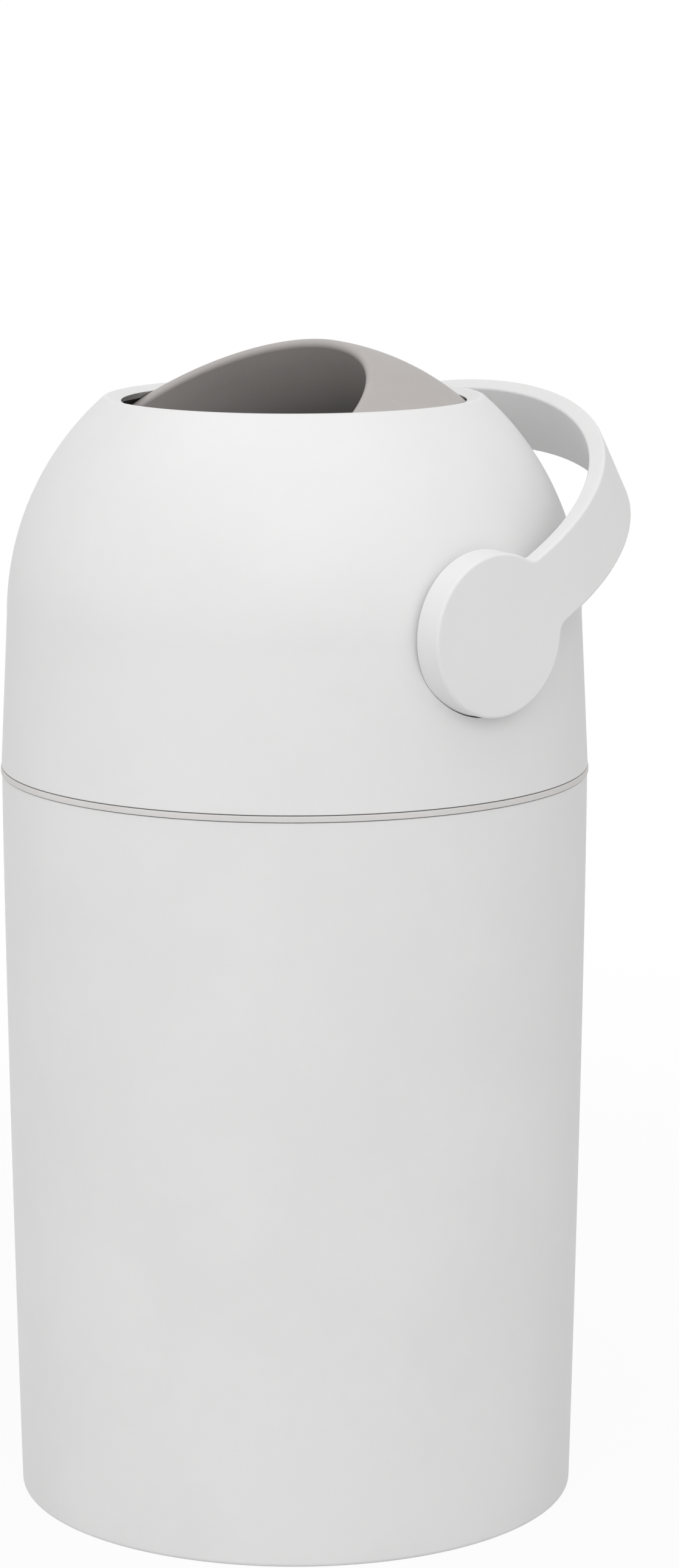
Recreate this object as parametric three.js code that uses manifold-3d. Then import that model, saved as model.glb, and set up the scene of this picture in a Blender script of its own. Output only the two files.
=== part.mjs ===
// A nappy bin with a flip-over drum. A nappy goes in at the top, into a ball-shaped drum. Flipping the handle
// to the other side turns the drum half round in the head, and the loose piston in its bore slides down
// and pushes the nappy out into the bucket. The head turns on a bayonet, and lifts off with its seal. The bag
// ring below it lifts out.
// Millimetres, +Z up. The origin is the middle of the bucket's underside. The handle's pivots lie along X.
import * as THREE from "three";
import { mergeVertices } from "three/addons/utils/BufferGeometryUtils.js";
import Module from "manifold-3d";

// Facets round a full turn
const shellFacets = 40;
const pistonFacets = 24;
const pivotFacets = 20;
const screwFacets = 8;

// Clearances that several pieces share
const seatGap = 0.3;
const seamGap = 0.35;
const turnGap = 0.6;
const drumGap = 0.8;
const sealGap = 0.45;
const overrun = 1;
const weldDepth = 0.6;

// Drum: a ball with a bore through it, in two halves. The radii of the head and the bucket follow its radius,
// and those of the head's opening, the piston and the cradle's throat follow its mouth.
const drumRadius = 110.3;
const drumWall = 2.4;
const drumMouthRadius = 66.95;
const drumLipRound = 2.3;
const drumLipStep = 2.45;
const drumTaperLength = 16.9;
const drumSplit = 0.3;
const spigotDepth = 4;
const spigotWall = 3;
const spigotRoot = 6;

// Head: a dome over the drum, with a skirt that widens downwards
const domeRise = 10.3;
const domeDrop = 4.5;
const skirtDraft = 3.1;
const headWall = 2.8;
const pivotMargin = 12.95;
const openingMargin = 0.25;
const creaseWidth = 6.8;
const rimRound = 0.5;
const rimDepth = 3;

// Bucket
const bucketHeight = 311.6;
const bucketInset = 0.2;
const bucketTaper = 5;
const bucketWall = 2.6;
const bucketFloor = 3;
const bucketBaseFillet = 2;
const bucketInnerFillet = 3;
const bucketFlareShare = 1.45;
const basePadRadius = 40;
const standingRingWidth = 12;
const baseRecess = 1.8;

// Bag ring: the grey band in the seam, a skirt in the bucket's mouth and a bayonet collar in the head
const ringProud = 0.3;
const ringBandHeight = 2.4;
const ringEdge = 0.4;
const ringSkirtDepth = 16;
const ringSkirtWall = 2.4;
const ringSkirtGap = 0.4;
const ringCollarHeight = 14;
const ringCollarWall = 4.2;
const ringShoulderDrop = 4;

// Bayonet between head and bag ring
const bayonetLugs = 3;
const bayonetTurn = 18;
const lugAngle = 12;
const lugSlack = 1.2;
const lugRise = 3.8;
const lugHeight = 3.8;
const lugDepth = 2.4;
const channelDepth = 1.9;

// Lid seal between the collar and the head
const lidSealHeight = 2.7;

// Snap tongues that hold the drum's halves together
const tongueCount = 4;
const tongueWidth = 10;
const tongueWall = 0.9;
const tongueReach = 7.3;
const tongueBarb = 1;
const tongueBarbHeight = 1.4;
const tongueTip = 2;
const ledgeHeight = 3.2;

// Cradle: the bowl under the drum, with the flange that the head is screwed to
const cradleGap = 2.5;
const cradleWall = 2.4;
const throatMargin = 0.7;
const cradleLip = 1.8;
const cradleFlange = 2.5;
const sealRibWall = 1;
const sealRibHeight = 1.5;
const cradleScrews = 4;
const cradleScrewInset = 13.7;
const bossRadius = 4.2;
const bossHeight = 12.6;
const bossWeb = 3;

// Drum seals
const topSealHeight = 6.3;
const bottomSealWidth = 6;

// Pivots
const seatDepth = 3;
const seatWall = 2.7;
const pocketGap = 0.35;
const pocketWall = 2;
const discSink = 0.5;
const bushWall = 3.6;
const bushFlangeWidth = 3;
const bushFlange = 2;
const stubRadius = 10.1;
const stubLugDepth = 2;
const stubLugAngle = 24;
const stubStopSlack = 1.5;
const driveWidth = 13.6;
const driveLength = 12.6;
const trunnionRadius = 14.5;
const trunnionProud = 1.7;

// Handle
const handleLift = 30;
const discRadius = 33.2;
const discFlare = 0.5;
const discThickness = 11.8;
const handleRound = 1.3;
const strapThickness = 7.35;
const strapWidth = 31;
const strapStraight = 36.6;
const fingerRoom = 16.85;
const neckFillet = 6;
const strapRoot = 12;
const neckSink = 0.5;

// Piston
const pistonThickness = 42;
const pistonGap = 0.7;
const pistonWall = 2.4;
const pistonTaper = 12;
const pistonEdge = 1.2;
const pistonDish = 1.2;
const wiperFromFace = 12.6;
const wiperHeight = 2.4;
const wiperDepth = 2.2;
const pistonSpigot = 2.5;
const weightInset = 16.7;
const weightThickness = 7;
const ribWall = 2;
const ribInset = 28.7;

// Screws
const screwShankRadius = 1.9;
const screwHeadRadius = 3.4;
const screwHeadHeight = 2.2;
const cradleScrewLength = 13;
const hubScrewBite = 6.7;
const hubScrewSink = 1;

// Levels and radii that follow from the sizes above
const ringUnderside = bucketHeight + seamGap;
const ringTop = ringUnderside + ringBandHeight;
const collarTop = ringTop + ringCollarHeight;
const headBottom = ringTop + seamGap;
const flangeUnderside = collarTop + lidSealHeight + 2 * seatGap;
const flangeTop = flangeUnderside + cradleFlange;
const pocketRadius = discRadius + discFlare + pocketGap;
const seatPadRadius = pocketRadius + pocketWall;
const pivotHeight = flangeTop + seatPadRadius + pivotMargin;
const domeHeight = pivotHeight - domeDrop;
const domeRadius = drumRadius + domeRise;
const headSkirtRadius = domeRadius + skirtDraft;
const bucketTopRadius = headSkirtRadius - bucketInset;
const bucketBaseRadius = bucketTopRadius - bucketTaper;
const ringRadius = headSkirtRadius + ringProud;
const skirtRadius = bucketTopRadius - bucketWall - ringSkirtGap;
const collarRadius = headSkirtRadius - headWall - 2 * turnGap;
const collarInnerRadius = collarRadius - ringCollarWall;
const clearRadius = drumRadius + drumGap;
const sealRadius = drumRadius + sealGap;
const halfSplit = drumSplit / 2;
const drumBoreRadius = drumMouthRadius + drumLipStep;
const cavityRadius = drumRadius - drumWall;
const cavityBoreRadius = drumBoreRadius + drumWall;
const spigotRadius = cavityRadius - seatGap;
const openingRadius = drumMouthRadius + 2 * drumLipRound + openingMargin;
const creaseRadius = openingRadius + creaseWidth;
const cradleRadius = drumRadius + cradleGap;
const cradleThroatRadius = openingRadius + throatMargin;
const cradleScrewCircle = headSkirtRadius - cradleScrewInset;
const seatPlane = domeRadius - seatDepth;
const discFace = seatPlane + discSink + discThickness;
const strapMiddle = discFace - strapThickness / 2;
const strapReach = domeRadius + fingerRoom + strapThickness;
const stubHoleRadius = screwShankRadius + seatGap;
const bushBoreRadius = stubRadius + seatGap;
const bushRadius = bushBoreRadius + bushWall;
const bushInnerFace = seatPlane - seatWall - seatGap - bushFlange;
const trunnionFace = drumRadius + trunnionProud;
const drumLift = THREE.MathUtils.degToRad(handleLift);

const wasm = await Module();
wasm.setup();

// Solids and meshes

// A closed geometry as a solid that can be joined and cut.
function solid(geometry) {
  const bare = geometry.index ? geometry.toNonIndexed() : geometry.clone();
  bare.deleteAttribute("normal");
  bare.deleteAttribute("uv");
  const merged = mergeVertices(bare, 1e-3);
  const index = merged.index.array;
  const kept = [];
  for (let i = 0; i < index.length; i += 3) {
    const [a, b, c] = [index[i], index[i + 1], index[i + 2]];
    if (a !== b && b !== c && c !== a) kept.push(a, b, c);
  }
  return new wasm.Manifold(
    new wasm.Mesh({
      numProp: 3,
      vertProperties: merged.attributes.position.array,
      triVerts: new Uint32Array(kept),
    }),
  );
}

function geometryOf(body) {
  const mesh = body.getMesh();
  const made = new THREE.BufferGeometry();
  made.setAttribute("position", new THREE.BufferAttribute(mesh.vertProperties, 3));
  made.setIndex(new THREE.BufferAttribute(mesh.triVerts, 1));
  made.computeVertexNormals();
  return made;
}

const plastic = (color, roughness = 0.55) =>
  new THREE.MeshStandardMaterial({ color, roughness, metalness: 0 });
const white = plastic(0xe9e8e6);
const grey = plastic(0xa8a39e);
const paleGrey = plastic(0xc4c1bd);
const sealGrey = plastic(0x6d6863, 0.85);
const steel = new THREE.MeshStandardMaterial({ color: 0xb4b6b8, roughness: 0.35, metalness: 1 });

function piece(name, body, material) {
  const mesh = new THREE.Mesh(geometryOf(body), material);
  mesh.name = name;
  return mesh;
}

// Outlines

const point = (radius, height) => new THREE.Vector2(radius, height);

// Points on a circle, from one angle in radians to another, both ends included.
function arc(centre, radius, from, to, steps) {
  const points = [];
  for (let i = 0; i <= steps; i += 1) {
    const angle = from + ((to - from) * i) / steps;
    points.push(point(centre.x + radius * Math.cos(angle), centre.y + radius * Math.sin(angle)));
  }
  return points;
}

const leg = (hypotenuse, other) => Math.sqrt(hypotenuse * hypotenuse - other * other);

// Points on a ball's outline about the drum's centre, between two radii from the bin's axis.
// side is 1 above the centre and -1 below it.
function ballArc(ballRadius, fromRadius, toRadius, side, steps, centreHeight = 0) {
  const from = Math.acos(fromRadius / ballRadius);
  const to = Math.acos(toRadius / ballRadius);
  return arc(point(0, centreHeight), ballRadius, side * from, side * to, steps);
}

// Shapes

// An outline of radii and heights, turned about Z. It closes on itself, or starts and ends on the axis.
function turned(outline, facets = shellFacets) {
  const onAxis = outline[0].x === 0 && outline[outline.length - 1].x === 0;
  const area = outline.reduce((sum, p, i) => {
    const next = outline[(i + 1) % outline.length];
    return sum + p.x * next.y - next.x * p.y;
  }, 0);
  const points = area > 0 ? [...outline] : [...outline].reverse();
  if (!onAxis) points.push(points[0].clone());
  return new THREE.LatheGeometry(points, facets).rotateX(Math.PI / 2);
}

// The same about X, with heights measured along X. side is 1 for the right-hand pivot, -1 for the left one.
function turnedAboutX(outline, side, facets = pivotFacets) {
  return turned(outline, facets).rotateY((side * Math.PI) / 2);
}

const rod = (radius, from, to) => [point(0, from), point(radius, from), point(radius, to), point(0, to)];

// A block of a ring, between two radii, two angles in degrees and two heights.
function ringBlock(inner, outer, fromAngle, toAngle, bottom, top, steps = 3) {
  const [from, to] = [fromAngle, toAngle].map(THREE.MathUtils.degToRad);
  const centre = point(0, 0);
  const inside = inner > 0 ? arc(centre, inner, to, from, steps) : [centre];
  const shape = new THREE.Shape([...arc(centre, outer, from, to, steps), ...inside]);
  const block = new THREE.ExtrudeGeometry(shape, { depth: top - bottom, bevelEnabled: false });
  return block.translate(0, 0, bottom);
}

// The same as a wedge about X, between two distances from the middle. Angle 0 is towards +Y, and 90 is up.
function wedgeAboutX(outer, fromAngle, toAngle, from, to, side, steps = 3) {
  const wedge = ringBlock(0, outer, fromAngle, toAngle, from, to, steps);
  wedge.rotateX(Math.PI / 2).rotateZ(Math.PI / 2);
  return side > 0 ? wedge : wedge.translate(-from - to, 0, 0);
}

// A flat outline in radii and heights, given a width across, and set at an angle in degrees round the axis.
function radialPlate(outline, width, angle) {
  const plate = new THREE.ExtrudeGeometry(new THREE.Shape(outline), { depth: width, bevelEnabled: false });
  return plate
    .translate(0, 0, -width / 2)
    .rotateX(Math.PI / 2)
    .rotateZ(THREE.MathUtils.degToRad(angle));
}

const spread = (count, first = 0) => Array.from({ length: count }, (_, i) => first + (360 / count) * i);

// Closes a row of matching sections into one skin.
function loft(sections) {
  const round = sections[0].length;
  const positions = sections.flat().flatMap((p) => [p.x, p.y, p.z]);
  const index = [];
  for (let s = 0; s + 1 < sections.length; s += 1) {
    for (let i = 0; i < round; i += 1) {
      const j = (i + 1) % round;
      const [a, b, c, d] = [s * round + i, s * round + j, (s + 1) * round + j, (s + 1) * round + i];
      index.push(a, c, b, a, d, c);
    }
  }
  const last = (sections.length - 1) * round;
  for (let i = 1; i + 1 < round; i += 1) {
    index.push(0, i, i + 1);
    index.push(last, last + i + 1, last + i);
  }
  const made = new THREE.BufferGeometry();
  made.setAttribute("position", new THREE.Float32BufferAttribute(positions, 3));
  made.setIndex(index);
  return made;
}

// Bucket

// The side flares slowly towards the top, so its radius follows a power of the height left above it.
function bucketRadiusAt(height) {
  const share = Math.max(0, 1 - height / bucketHeight);
  return bucketTopRadius - (bucketTopRadius - bucketBaseRadius) * share ** bucketFlareShare;
}

function bucket() {
  const sideSteps = 3;
  const filletSteps = 2;
  const footRadius = bucketBaseRadius - bucketBaseFillet;
  const floorTop = baseRecess + bucketFloor;
  const floorEnd = bucketBaseRadius - bucketWall - bucketInnerFillet;
  const side = [];
  for (let i = 0; i <= sideSteps; i += 1) {
    const height = bucketBaseFillet + ((bucketHeight - bucketBaseFillet) * i) / sideSteps;
    side.push(point(bucketRadiusAt(height), height));
  }
  const inside = side
    .filter((p, i) => i % 2 === 1)
    .reverse()
    .map((p) => point(p.x - bucketWall, p.y));
  const outline = [
    point(0, 0),
    point(basePadRadius, 0),
    point(basePadRadius + baseRecess, baseRecess),
    point(footRadius - standingRingWidth - baseRecess, baseRecess),
    point(footRadius - standingRingWidth, 0),
    ...arc(point(footRadius, bucketBaseFillet), bucketBaseFillet, -Math.PI / 2, 0, filletSteps),
    ...side.slice(1),
    ...inside,
    ...arc(point(floorEnd, floorTop + bucketInnerFillet), bucketInnerFillet, 0, -Math.PI / 2, 2),
    point(0, floorTop),
  ];
  return piece("bucket", solid(turned(outline)), white);
}

// Bag ring

const lugBottom = headBottom + lugRise;
const lugTop = lugBottom + lugHeight;

function bagRing() {
  const skirtInner = skirtRadius - ringSkirtWall;
  const outline = [
    point(skirtInner, ringUnderside - ringSkirtDepth),
    point(skirtRadius, ringUnderside - ringSkirtDepth),
    point(skirtRadius, ringUnderside),
    point(ringRadius, ringUnderside),
    point(ringRadius, ringTop - ringEdge),
    point(ringRadius - ringEdge, ringTop),
    point(collarRadius, ringTop),
    point(collarRadius, collarTop),
    point(collarInnerRadius, collarTop),
    point(collarInnerRadius, ringUnderside),
    point(skirtInner, ringUnderside - ringShoulderDrop),
  ];
  let body = solid(turned(outline));
  const floor = collarRadius - channelDepth;
  const outside = ringRadius + overrun;
  const half = lugAngle / 2 + lugSlack;
  for (const angle of spread(bayonetLugs)) {
    const [low, high] = [lugBottom - seatGap, lugTop + seatGap];
    const entry = ringBlock(floor, outside, angle - half, angle + half, low, collarTop + overrun);
    const run = ringBlock(floor, outside, angle - half - bayonetTurn, angle + half, low, high);
    body = body.subtract(solid(entry)).subtract(solid(run));
  }
  return piece("bag_ring", body, paleGrey);
}

function lidSeal() {
  const inner = collarInnerRadius + seatGap;
  const outer = collarRadius - seatGap;
  const bottom = collarTop + seatGap;
  const outline = [
    point(inner, bottom),
    point(outer, bottom),
    point(outer, bottom + lidSealHeight),
    point(inner, bottom + lidSealHeight),
  ];
  return piece("lid_seal", solid(turned(outline)), sealGrey);
}

// Head

const domeCentre = point(0, domeHeight);
const creaseAngle = Math.acos(creaseRadius / domeRadius);
const openingEdge = pivotHeight + leg(clearRadius, openingRadius);
const rimUnderside = openingEdge - rimDepth;
const rimFootRadius = leg(clearRadius, rimUnderside - pivotHeight);
const topSealTop = rimUnderside - seatGap;
const topSealBottom = topSealTop - topSealHeight;
const ceilingAngle = Math.asin((rimUnderside - domeHeight) / (domeRadius - headWall));
const sealFootAngle = Math.asin((topSealBottom - domeHeight) / (domeRadius - headWall));

function headOuter() {
  return [
    point(headSkirtRadius, headBottom),
    ...arc(domeCentre, domeRadius, 0, creaseAngle, 6),
    point(openingRadius + rimRound, openingEdge + rimRound / 3),
    point(openingRadius, openingEdge),
  ];
}

// The inside wall's radius at a height between the head's lower edge and the foot of the dome.
function headInnerRadiusAt(height) {
  const share = (height - headBottom) / (domeHeight - headBottom);
  return THREE.MathUtils.lerp(headSkirtRadius, domeRadius, share) - headWall;
}

function headShell() {
  const outline = [
    ...headOuter(),
    point(rimFootRadius, rimUnderside),
    ...arc(domeCentre, domeRadius - headWall, ceilingAngle, sealFootAngle, 1),
    ...arc(domeCentre, domeRadius - headWall, sealFootAngle, 0, 3).slice(1),
    point(headSkirtRadius - headWall, headBottom),
  ];
  let body = solid(turned(outline));
  const filled = solid(turned([point(0, headBottom), ...headOuter(), point(0, openingEdge)]));
  const beyond = headSkirtRadius + overrun;
  const bushHole = bushRadius + seatGap;
  const flangeHole = bushHole + bushFlangeWidth;
  for (const side of [1, -1]) {
    const seat = turnedAboutX(rod(seatPadRadius, seatPlane - seatWall, beyond), side);
    const pocket = turnedAboutX(rod(pocketRadius, seatPlane, beyond), side, shellFacets);
    const spotface = turnedAboutX(rod(flangeHole, drumRadius, seatPlane - seatWall), side);
    const hole = turnedAboutX(rod(bushHole, drumRadius, beyond), side);
    for (const shape of [seat, pocket, spotface, hole]) shape.translate(0, 0, pivotHeight);
    body = body
      .add(solid(seat).intersect(filled))
      .subtract(solid(pocket))
      .subtract(solid(spotface))
      .subtract(solid(hole));
  }
  for (const angle of spread(bayonetLugs)) {
    const inner = headInnerRadiusAt(lugBottom) - lugDepth;
    const outer = headInnerRadiusAt(lugTop) + weldDepth;
    const half = lugAngle / 2;
    body = body.add(solid(ringBlock(inner, outer, angle - half, angle + half, lugBottom, lugTop)));
  }
  for (const angle of spread(cradleScrews, 180 / cradleScrews)) {
    body = body.add(screwBoss(angle)).subtract(screwHole(angle));
  }
  return piece("head_shell", body, white);
}

const bossBottom = flangeTop + seatGap;

// A boss for one cradle screw, tied to the wall by a web.
function screwBoss(angle) {
  const top = bossBottom + bossHeight;
  const wall = headInnerRadiusAt(top) + weldDepth;
  const boss = turned(rod(bossRadius, bossBottom, top), pivotFacets / 2)
    .translate(cradleScrewCircle, 0, 0)
    .rotateZ(THREE.MathUtils.degToRad(angle));
  const web = [
    point(cradleScrewCircle, bossBottom),
    point(wall, bossBottom),
    point(wall, top),
    point(cradleScrewCircle, top),
  ];
  return solid(boss).add(solid(radialPlate(web, bossWeb, angle)));
}

function screwHole(angle) {
  const bottom = flangeUnderside - overrun;
  const hole = rod(stubHoleRadius, bottom, flangeUnderside + cradleScrewLength + seatGap);
  return solid(
    turned(hole, screwFacets)
      .translate(cradleScrewCircle, 0, 0)
      .rotateZ(THREE.MathUtils.degToRad(angle)),
  );
}

const bottomSealInner = cradleThroatRadius + cradleLip + seatGap;
const bottomSealOuter = bottomSealInner + bottomSealWidth;

function drumCradle() {
  const outerRadius = headInnerRadiusAt(flangeTop) - 2 * seatGap;
  const bowl = cradleRadius + cradleWall;
  const ribOuter = collarInnerRadius + seatGap - turnGap;
  const ribInner = ribOuter - sealRibWall;
  const lipRadius = cradleThroatRadius + cradleLip;
  const flangeRoot = leg(cradleRadius, pivotHeight - flangeTop);
  const outline = [
    ...ballArc(clearRadius, cradleThroatRadius, lipRadius, -1, 1, pivotHeight),
    ...ballArc(cradleRadius, lipRadius, bottomSealOuter, -1, 1, pivotHeight),
    ...ballArc(cradleRadius, bottomSealOuter, flangeRoot, -1, 2, pivotHeight).slice(1),
    point(outerRadius, flangeTop),
    point(outerRadius, flangeUnderside),
    point(ribOuter, flangeUnderside),
    point(ribOuter, flangeUnderside - sealRibHeight),
    point(ribInner, flangeUnderside - sealRibHeight),
    point(ribInner, flangeUnderside),
    ...ballArc(bowl, leg(bowl, pivotHeight - flangeUnderside), cradleThroatRadius, -1, 3, pivotHeight),
  ];
  let body = solid(turned(outline));
  for (const angle of spread(cradleScrews, 180 / cradleScrews)) body = body.subtract(screwHole(angle));
  return piece("drum_cradle", body, grey);
}

function topDrumSeal() {
  const outerAt = (height) => leg(domeRadius - headWall - seatGap, height - domeHeight);
  const outline = [
    point(leg(sealRadius, topSealBottom - pivotHeight), topSealBottom),
    point(outerAt(topSealBottom), topSealBottom),
    point(outerAt(topSealTop), topSealTop),
    point(leg(sealRadius, topSealTop - pivotHeight), topSealTop),
  ];
  return piece("top_drum_seal", solid(turned(outline)), sealGrey);
}

function bottomDrumSeal() {
  const outline = [
    ...ballArc(sealRadius, bottomSealInner, bottomSealOuter, -1, 1, pivotHeight),
    ...ballArc(cradleRadius - seatGap, bottomSealOuter, bottomSealInner, -1, 1, pivotHeight),
  ];
  return piece("bottom_drum_seal", solid(turned(outline)), sealGrey);
}

// A bush in the head's wall. Its upper half is cut away inside, so that the stub's lug can turn half round.
function pivotBush(name, side) {
  const outline = [
    point(bushBoreRadius, bushInnerFace),
    point(bushRadius + bushFlangeWidth, bushInnerFace),
    point(bushRadius + bushFlangeWidth, bushInnerFace + bushFlange),
    point(bushRadius, bushInnerFace + bushFlange),
    point(bushRadius, seatPlane - seatGap),
    point(bushBoreRadius, seatPlane - seatGap),
  ];
  const stop = stubLugAngle / 2 + stubStopSlack;
  const reach = stubRadius + stubLugDepth + seatGap;
  const [from, to] = [bushInnerFace - overrun, seatPlane + overrun];
  const relief = wedgeAboutX(reach, -stop, 180 + stop, from, to, side, pivotFacets / 2);
  const body = solid(turnedAboutX(outline, side)).subtract(solid(relief));
  const mesh = piece(name, body, paleGrey);
  mesh.position.z = pivotHeight;
  return mesh;
}

// A pan-head screw along Z: the head's top is at 0 and the tip points down.
function screw(name, length) {
  const outline = [
    point(0, -length),
    point(screwShankRadius / 2, -length),
    point(screwShankRadius, -length + screwShankRadius),
    point(screwShankRadius, -screwHeadHeight),
    point(screwHeadRadius, -screwHeadHeight),
    point(screwHeadRadius, -screwHeadHeight / 3),
    point(screwHeadRadius - screwHeadHeight / 3, 0),
    point(0, 0),
  ];
  return piece(name, solid(turned(outline, screwFacets)), steel);
}

function cradleScrew(number, angle) {
  const mesh = screw(`cradle_screw_${number}`, cradleScrewLength + screwHeadHeight);
  mesh.rotation.x = Math.PI;
  const turn = THREE.MathUtils.degToRad(angle);
  mesh.position.set(cradleScrewCircle * Math.cos(turn), cradleScrewCircle * Math.sin(turn), 0);
  mesh.position.z = flangeUnderside - seatGap - screwHeadHeight;
  return mesh;
}

// Drum, in its own frame: the centre of the ball is the origin, the bore runs along Z and the pivots along X.

const lipCentre = point(
  drumMouthRadius + drumLipRound,
  leg(drumRadius - drumLipRound, drumMouthRadius + drumLipRound),
);
const drumTaperFoot = lipCentre.y - drumTaperLength;

// The bore is straight in the middle and narrows a little towards each mouth.
function boreRadiusAt(height) {
  const share = Math.max(0, (height - drumTaperFoot) / drumTaperLength);
  return THREE.MathUtils.lerp(drumBoreRadius, drumMouthRadius, share);
}

// One half's outline above the split. The half with the spigot reaches past the split into the other.
function drumHalfOutline(withSpigot) {
  const lipTurn = Math.atan2(lipCentre.y, lipCentre.x);
  const ball = arc(point(0, 0), drumRadius, lipTurn, Math.asin(halfSplit / drumRadius), 5);
  const spigot = [
    point(spigotRadius, halfSplit),
    point(spigotRadius, -spigotDepth),
    point(spigotRadius - spigotWall, -spigotDepth),
    point(spigotRadius - spigotWall, spigotRoot),
    point(leg(cavityRadius, spigotRoot + spigotWall), spigotRoot + spigotWall),
  ];
  const tongueEnd = spigotDepth + tongueReach + tongueBarbHeight + tongueTip;
  const socketTop = spigotDepth + seatGap;
  const socket = [point(cavityRadius, halfSplit), point(leg(cavityRadius, spigotDepth), socketTop)];
  const cavityFrom = leg(cavityRadius, withSpigot ? spigotRoot + spigotWall + drumWall : tongueEnd);
  const cavityTop = lipCentre.y - drumWall;
  return [
    point(drumBoreRadius, halfSplit),
    point(drumBoreRadius, drumTaperFoot),
    ...arc(lipCentre, drumLipRound, Math.PI, lipTurn, 3),
    ...ball.slice(1),
    ...(withSpigot ? spigot : socket),
    ...ballArc(cavityRadius, cavityFrom, leg(cavityRadius, cavityTop), 1, 2),
    point(boreRadiusAt(cavityTop) + drumWall, cavityTop),
    point(cavityBoreRadius, drumTaperFoot),
    point(cavityBoreRadius, halfSplit),
  ];
}

// The trunnions' half bosses on one side of the split, reaching from the bore's wall out past the ball.
function trunnions(up) {
  const inBore = turned(rod(drumBoreRadius, -drumTaperFoot, drumTaperFoot));
  const keep = new THREE.BoxGeometry(4 * drumRadius, 4 * trunnionRadius, 2 * trunnionRadius);
  keep.translate(0, 0, up * (trunnionRadius + halfSplit));
  let body = null;
  for (const side of [1, -1]) {
    const boss = solid(turnedAboutX(rod(trunnionRadius, 0, trunnionFace), side));
    body = body ? body.add(boss) : boss;
  }
  return body.intersect(solid(keep)).subtract(solid(inBore));
}

const driveEnd = trunnionFace + seatGap - driveLength;
const hubHeadFace = drumBoreRadius + hubScrewSink;
const hubScrewLength = driveEnd + hubScrewBite - hubHeadFace;

// The square sockets for the handle's drives, with the screw holes behind them.
function sockets() {
  const width = driveWidth + 2 * seatGap;
  const shoulder = hubHeadFace + screwHeadHeight + seatGap;
  let body = null;
  for (const side of [1, -1]) {
    const socketDepth = trunnionFace + overrun - (driveEnd - seatGap);
    const socket = new THREE.BoxGeometry(socketDepth, width, width);
    socket.translate(side * (driveEnd - seatGap + socketDepth / 2), 0, 0);
    const hole = turnedAboutX(rod(stubHoleRadius, drumMouthRadius, trunnionFace), side, screwFacets);
    const sink = turnedAboutX(rod(screwHeadRadius + seatGap, drumMouthRadius, shoulder), side, screwFacets);
    const cut = solid(socket).add(solid(hole)).add(solid(sink));
    body = body ? body.add(cut) : cut;
  }
  return body;
}

// Snap tongues below the spigot, whose barbs catch under ledges in the other half.
function tongue(angle) {
  const outer = spigotRadius - spigotWall + tongueWall;
  const inner = spigotRadius - spigotWall;
  const end = -spigotDepth - tongueReach;
  const outline = [
    point(inner, -spigotDepth + weldDepth),
    point(inner, end - tongueBarbHeight - tongueTip),
    point(outer, end - tongueBarbHeight - tongueTip),
    point(outer + tongueBarb, end - tongueBarbHeight),
    point(outer + tongueBarb, end),
    point(outer, end),
    point(outer, -spigotDepth + weldDepth),
  ];
  return solid(radialPlate(outline, tongueWidth, angle));
}

function ledge(angle) {
  const inner = spigotRadius - spigotWall + tongueWall + seatGap;
  const bottom = -spigotDepth - tongueReach + seatGap;
  const outline = [
    point(inner, bottom),
    point(cavityRadius + weldDepth, bottom),
    point(cavityRadius + weldDepth, bottom + ledgeHeight),
    point(inner, bottom + ledgeHeight),
  ];
  return solid(radialPlate(outline, tongueWidth, angle));
}

const tongueAngles = spread(tongueCount, 180 / tongueCount);

function drumTopHalf() {
  let body = solid(turned(drumHalfOutline(true)));
  const clearance = trunnionRadius + seatGap;
  for (const side of [1, -1]) {
    const notch = turnedAboutX(rod(clearance, cavityBoreRadius, trunnionFace), side);
    const below = new THREE.BoxGeometry(4 * drumRadius, 4 * clearance, 2 * clearance);
    below.translate(0, 0, halfSplit - clearance);
    body = body.subtract(solid(notch).intersect(solid(below)));
  }
  for (const angle of tongueAngles) body = body.add(tongue(angle));
  body = body.add(trunnions(1)).subtract(sockets());
  return piece("drum_top_half", body, grey);
}

function drumBottomHalf() {
  const outline = drumHalfOutline(false).map((p) => point(p.x, -p.y));
  let body = solid(turned(outline));
  for (const angle of tongueAngles) body = body.add(ledge(angle));
  body = body.add(trunnions(-1)).subtract(sockets());
  return piece("drum_bottom_half", body, grey);
}

// Handle, in the drum's frame: the strap reaches along +Y.

// The fillets' middles are neckEnd along the strap, and the fillets meet the disc's round at neckStart.
const neckEnd = leg(discRadius + neckFillet, strapWidth / 2 + neckFillet);
const neckStart = (neckEnd * discRadius) / (discRadius + neckFillet);

// Half the strap's width near a disc, where a fillet on each side runs into the disc.
function neckHalfWidth(reach) {
  if (reach >= neckEnd) return strapWidth / 2;
  const width = strapWidth / 2 + neckFillet - leg(neckFillet, neckEnd - Math.max(reach, neckStart));
  return reach > neckStart ? width : width - neckSink;
}

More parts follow.
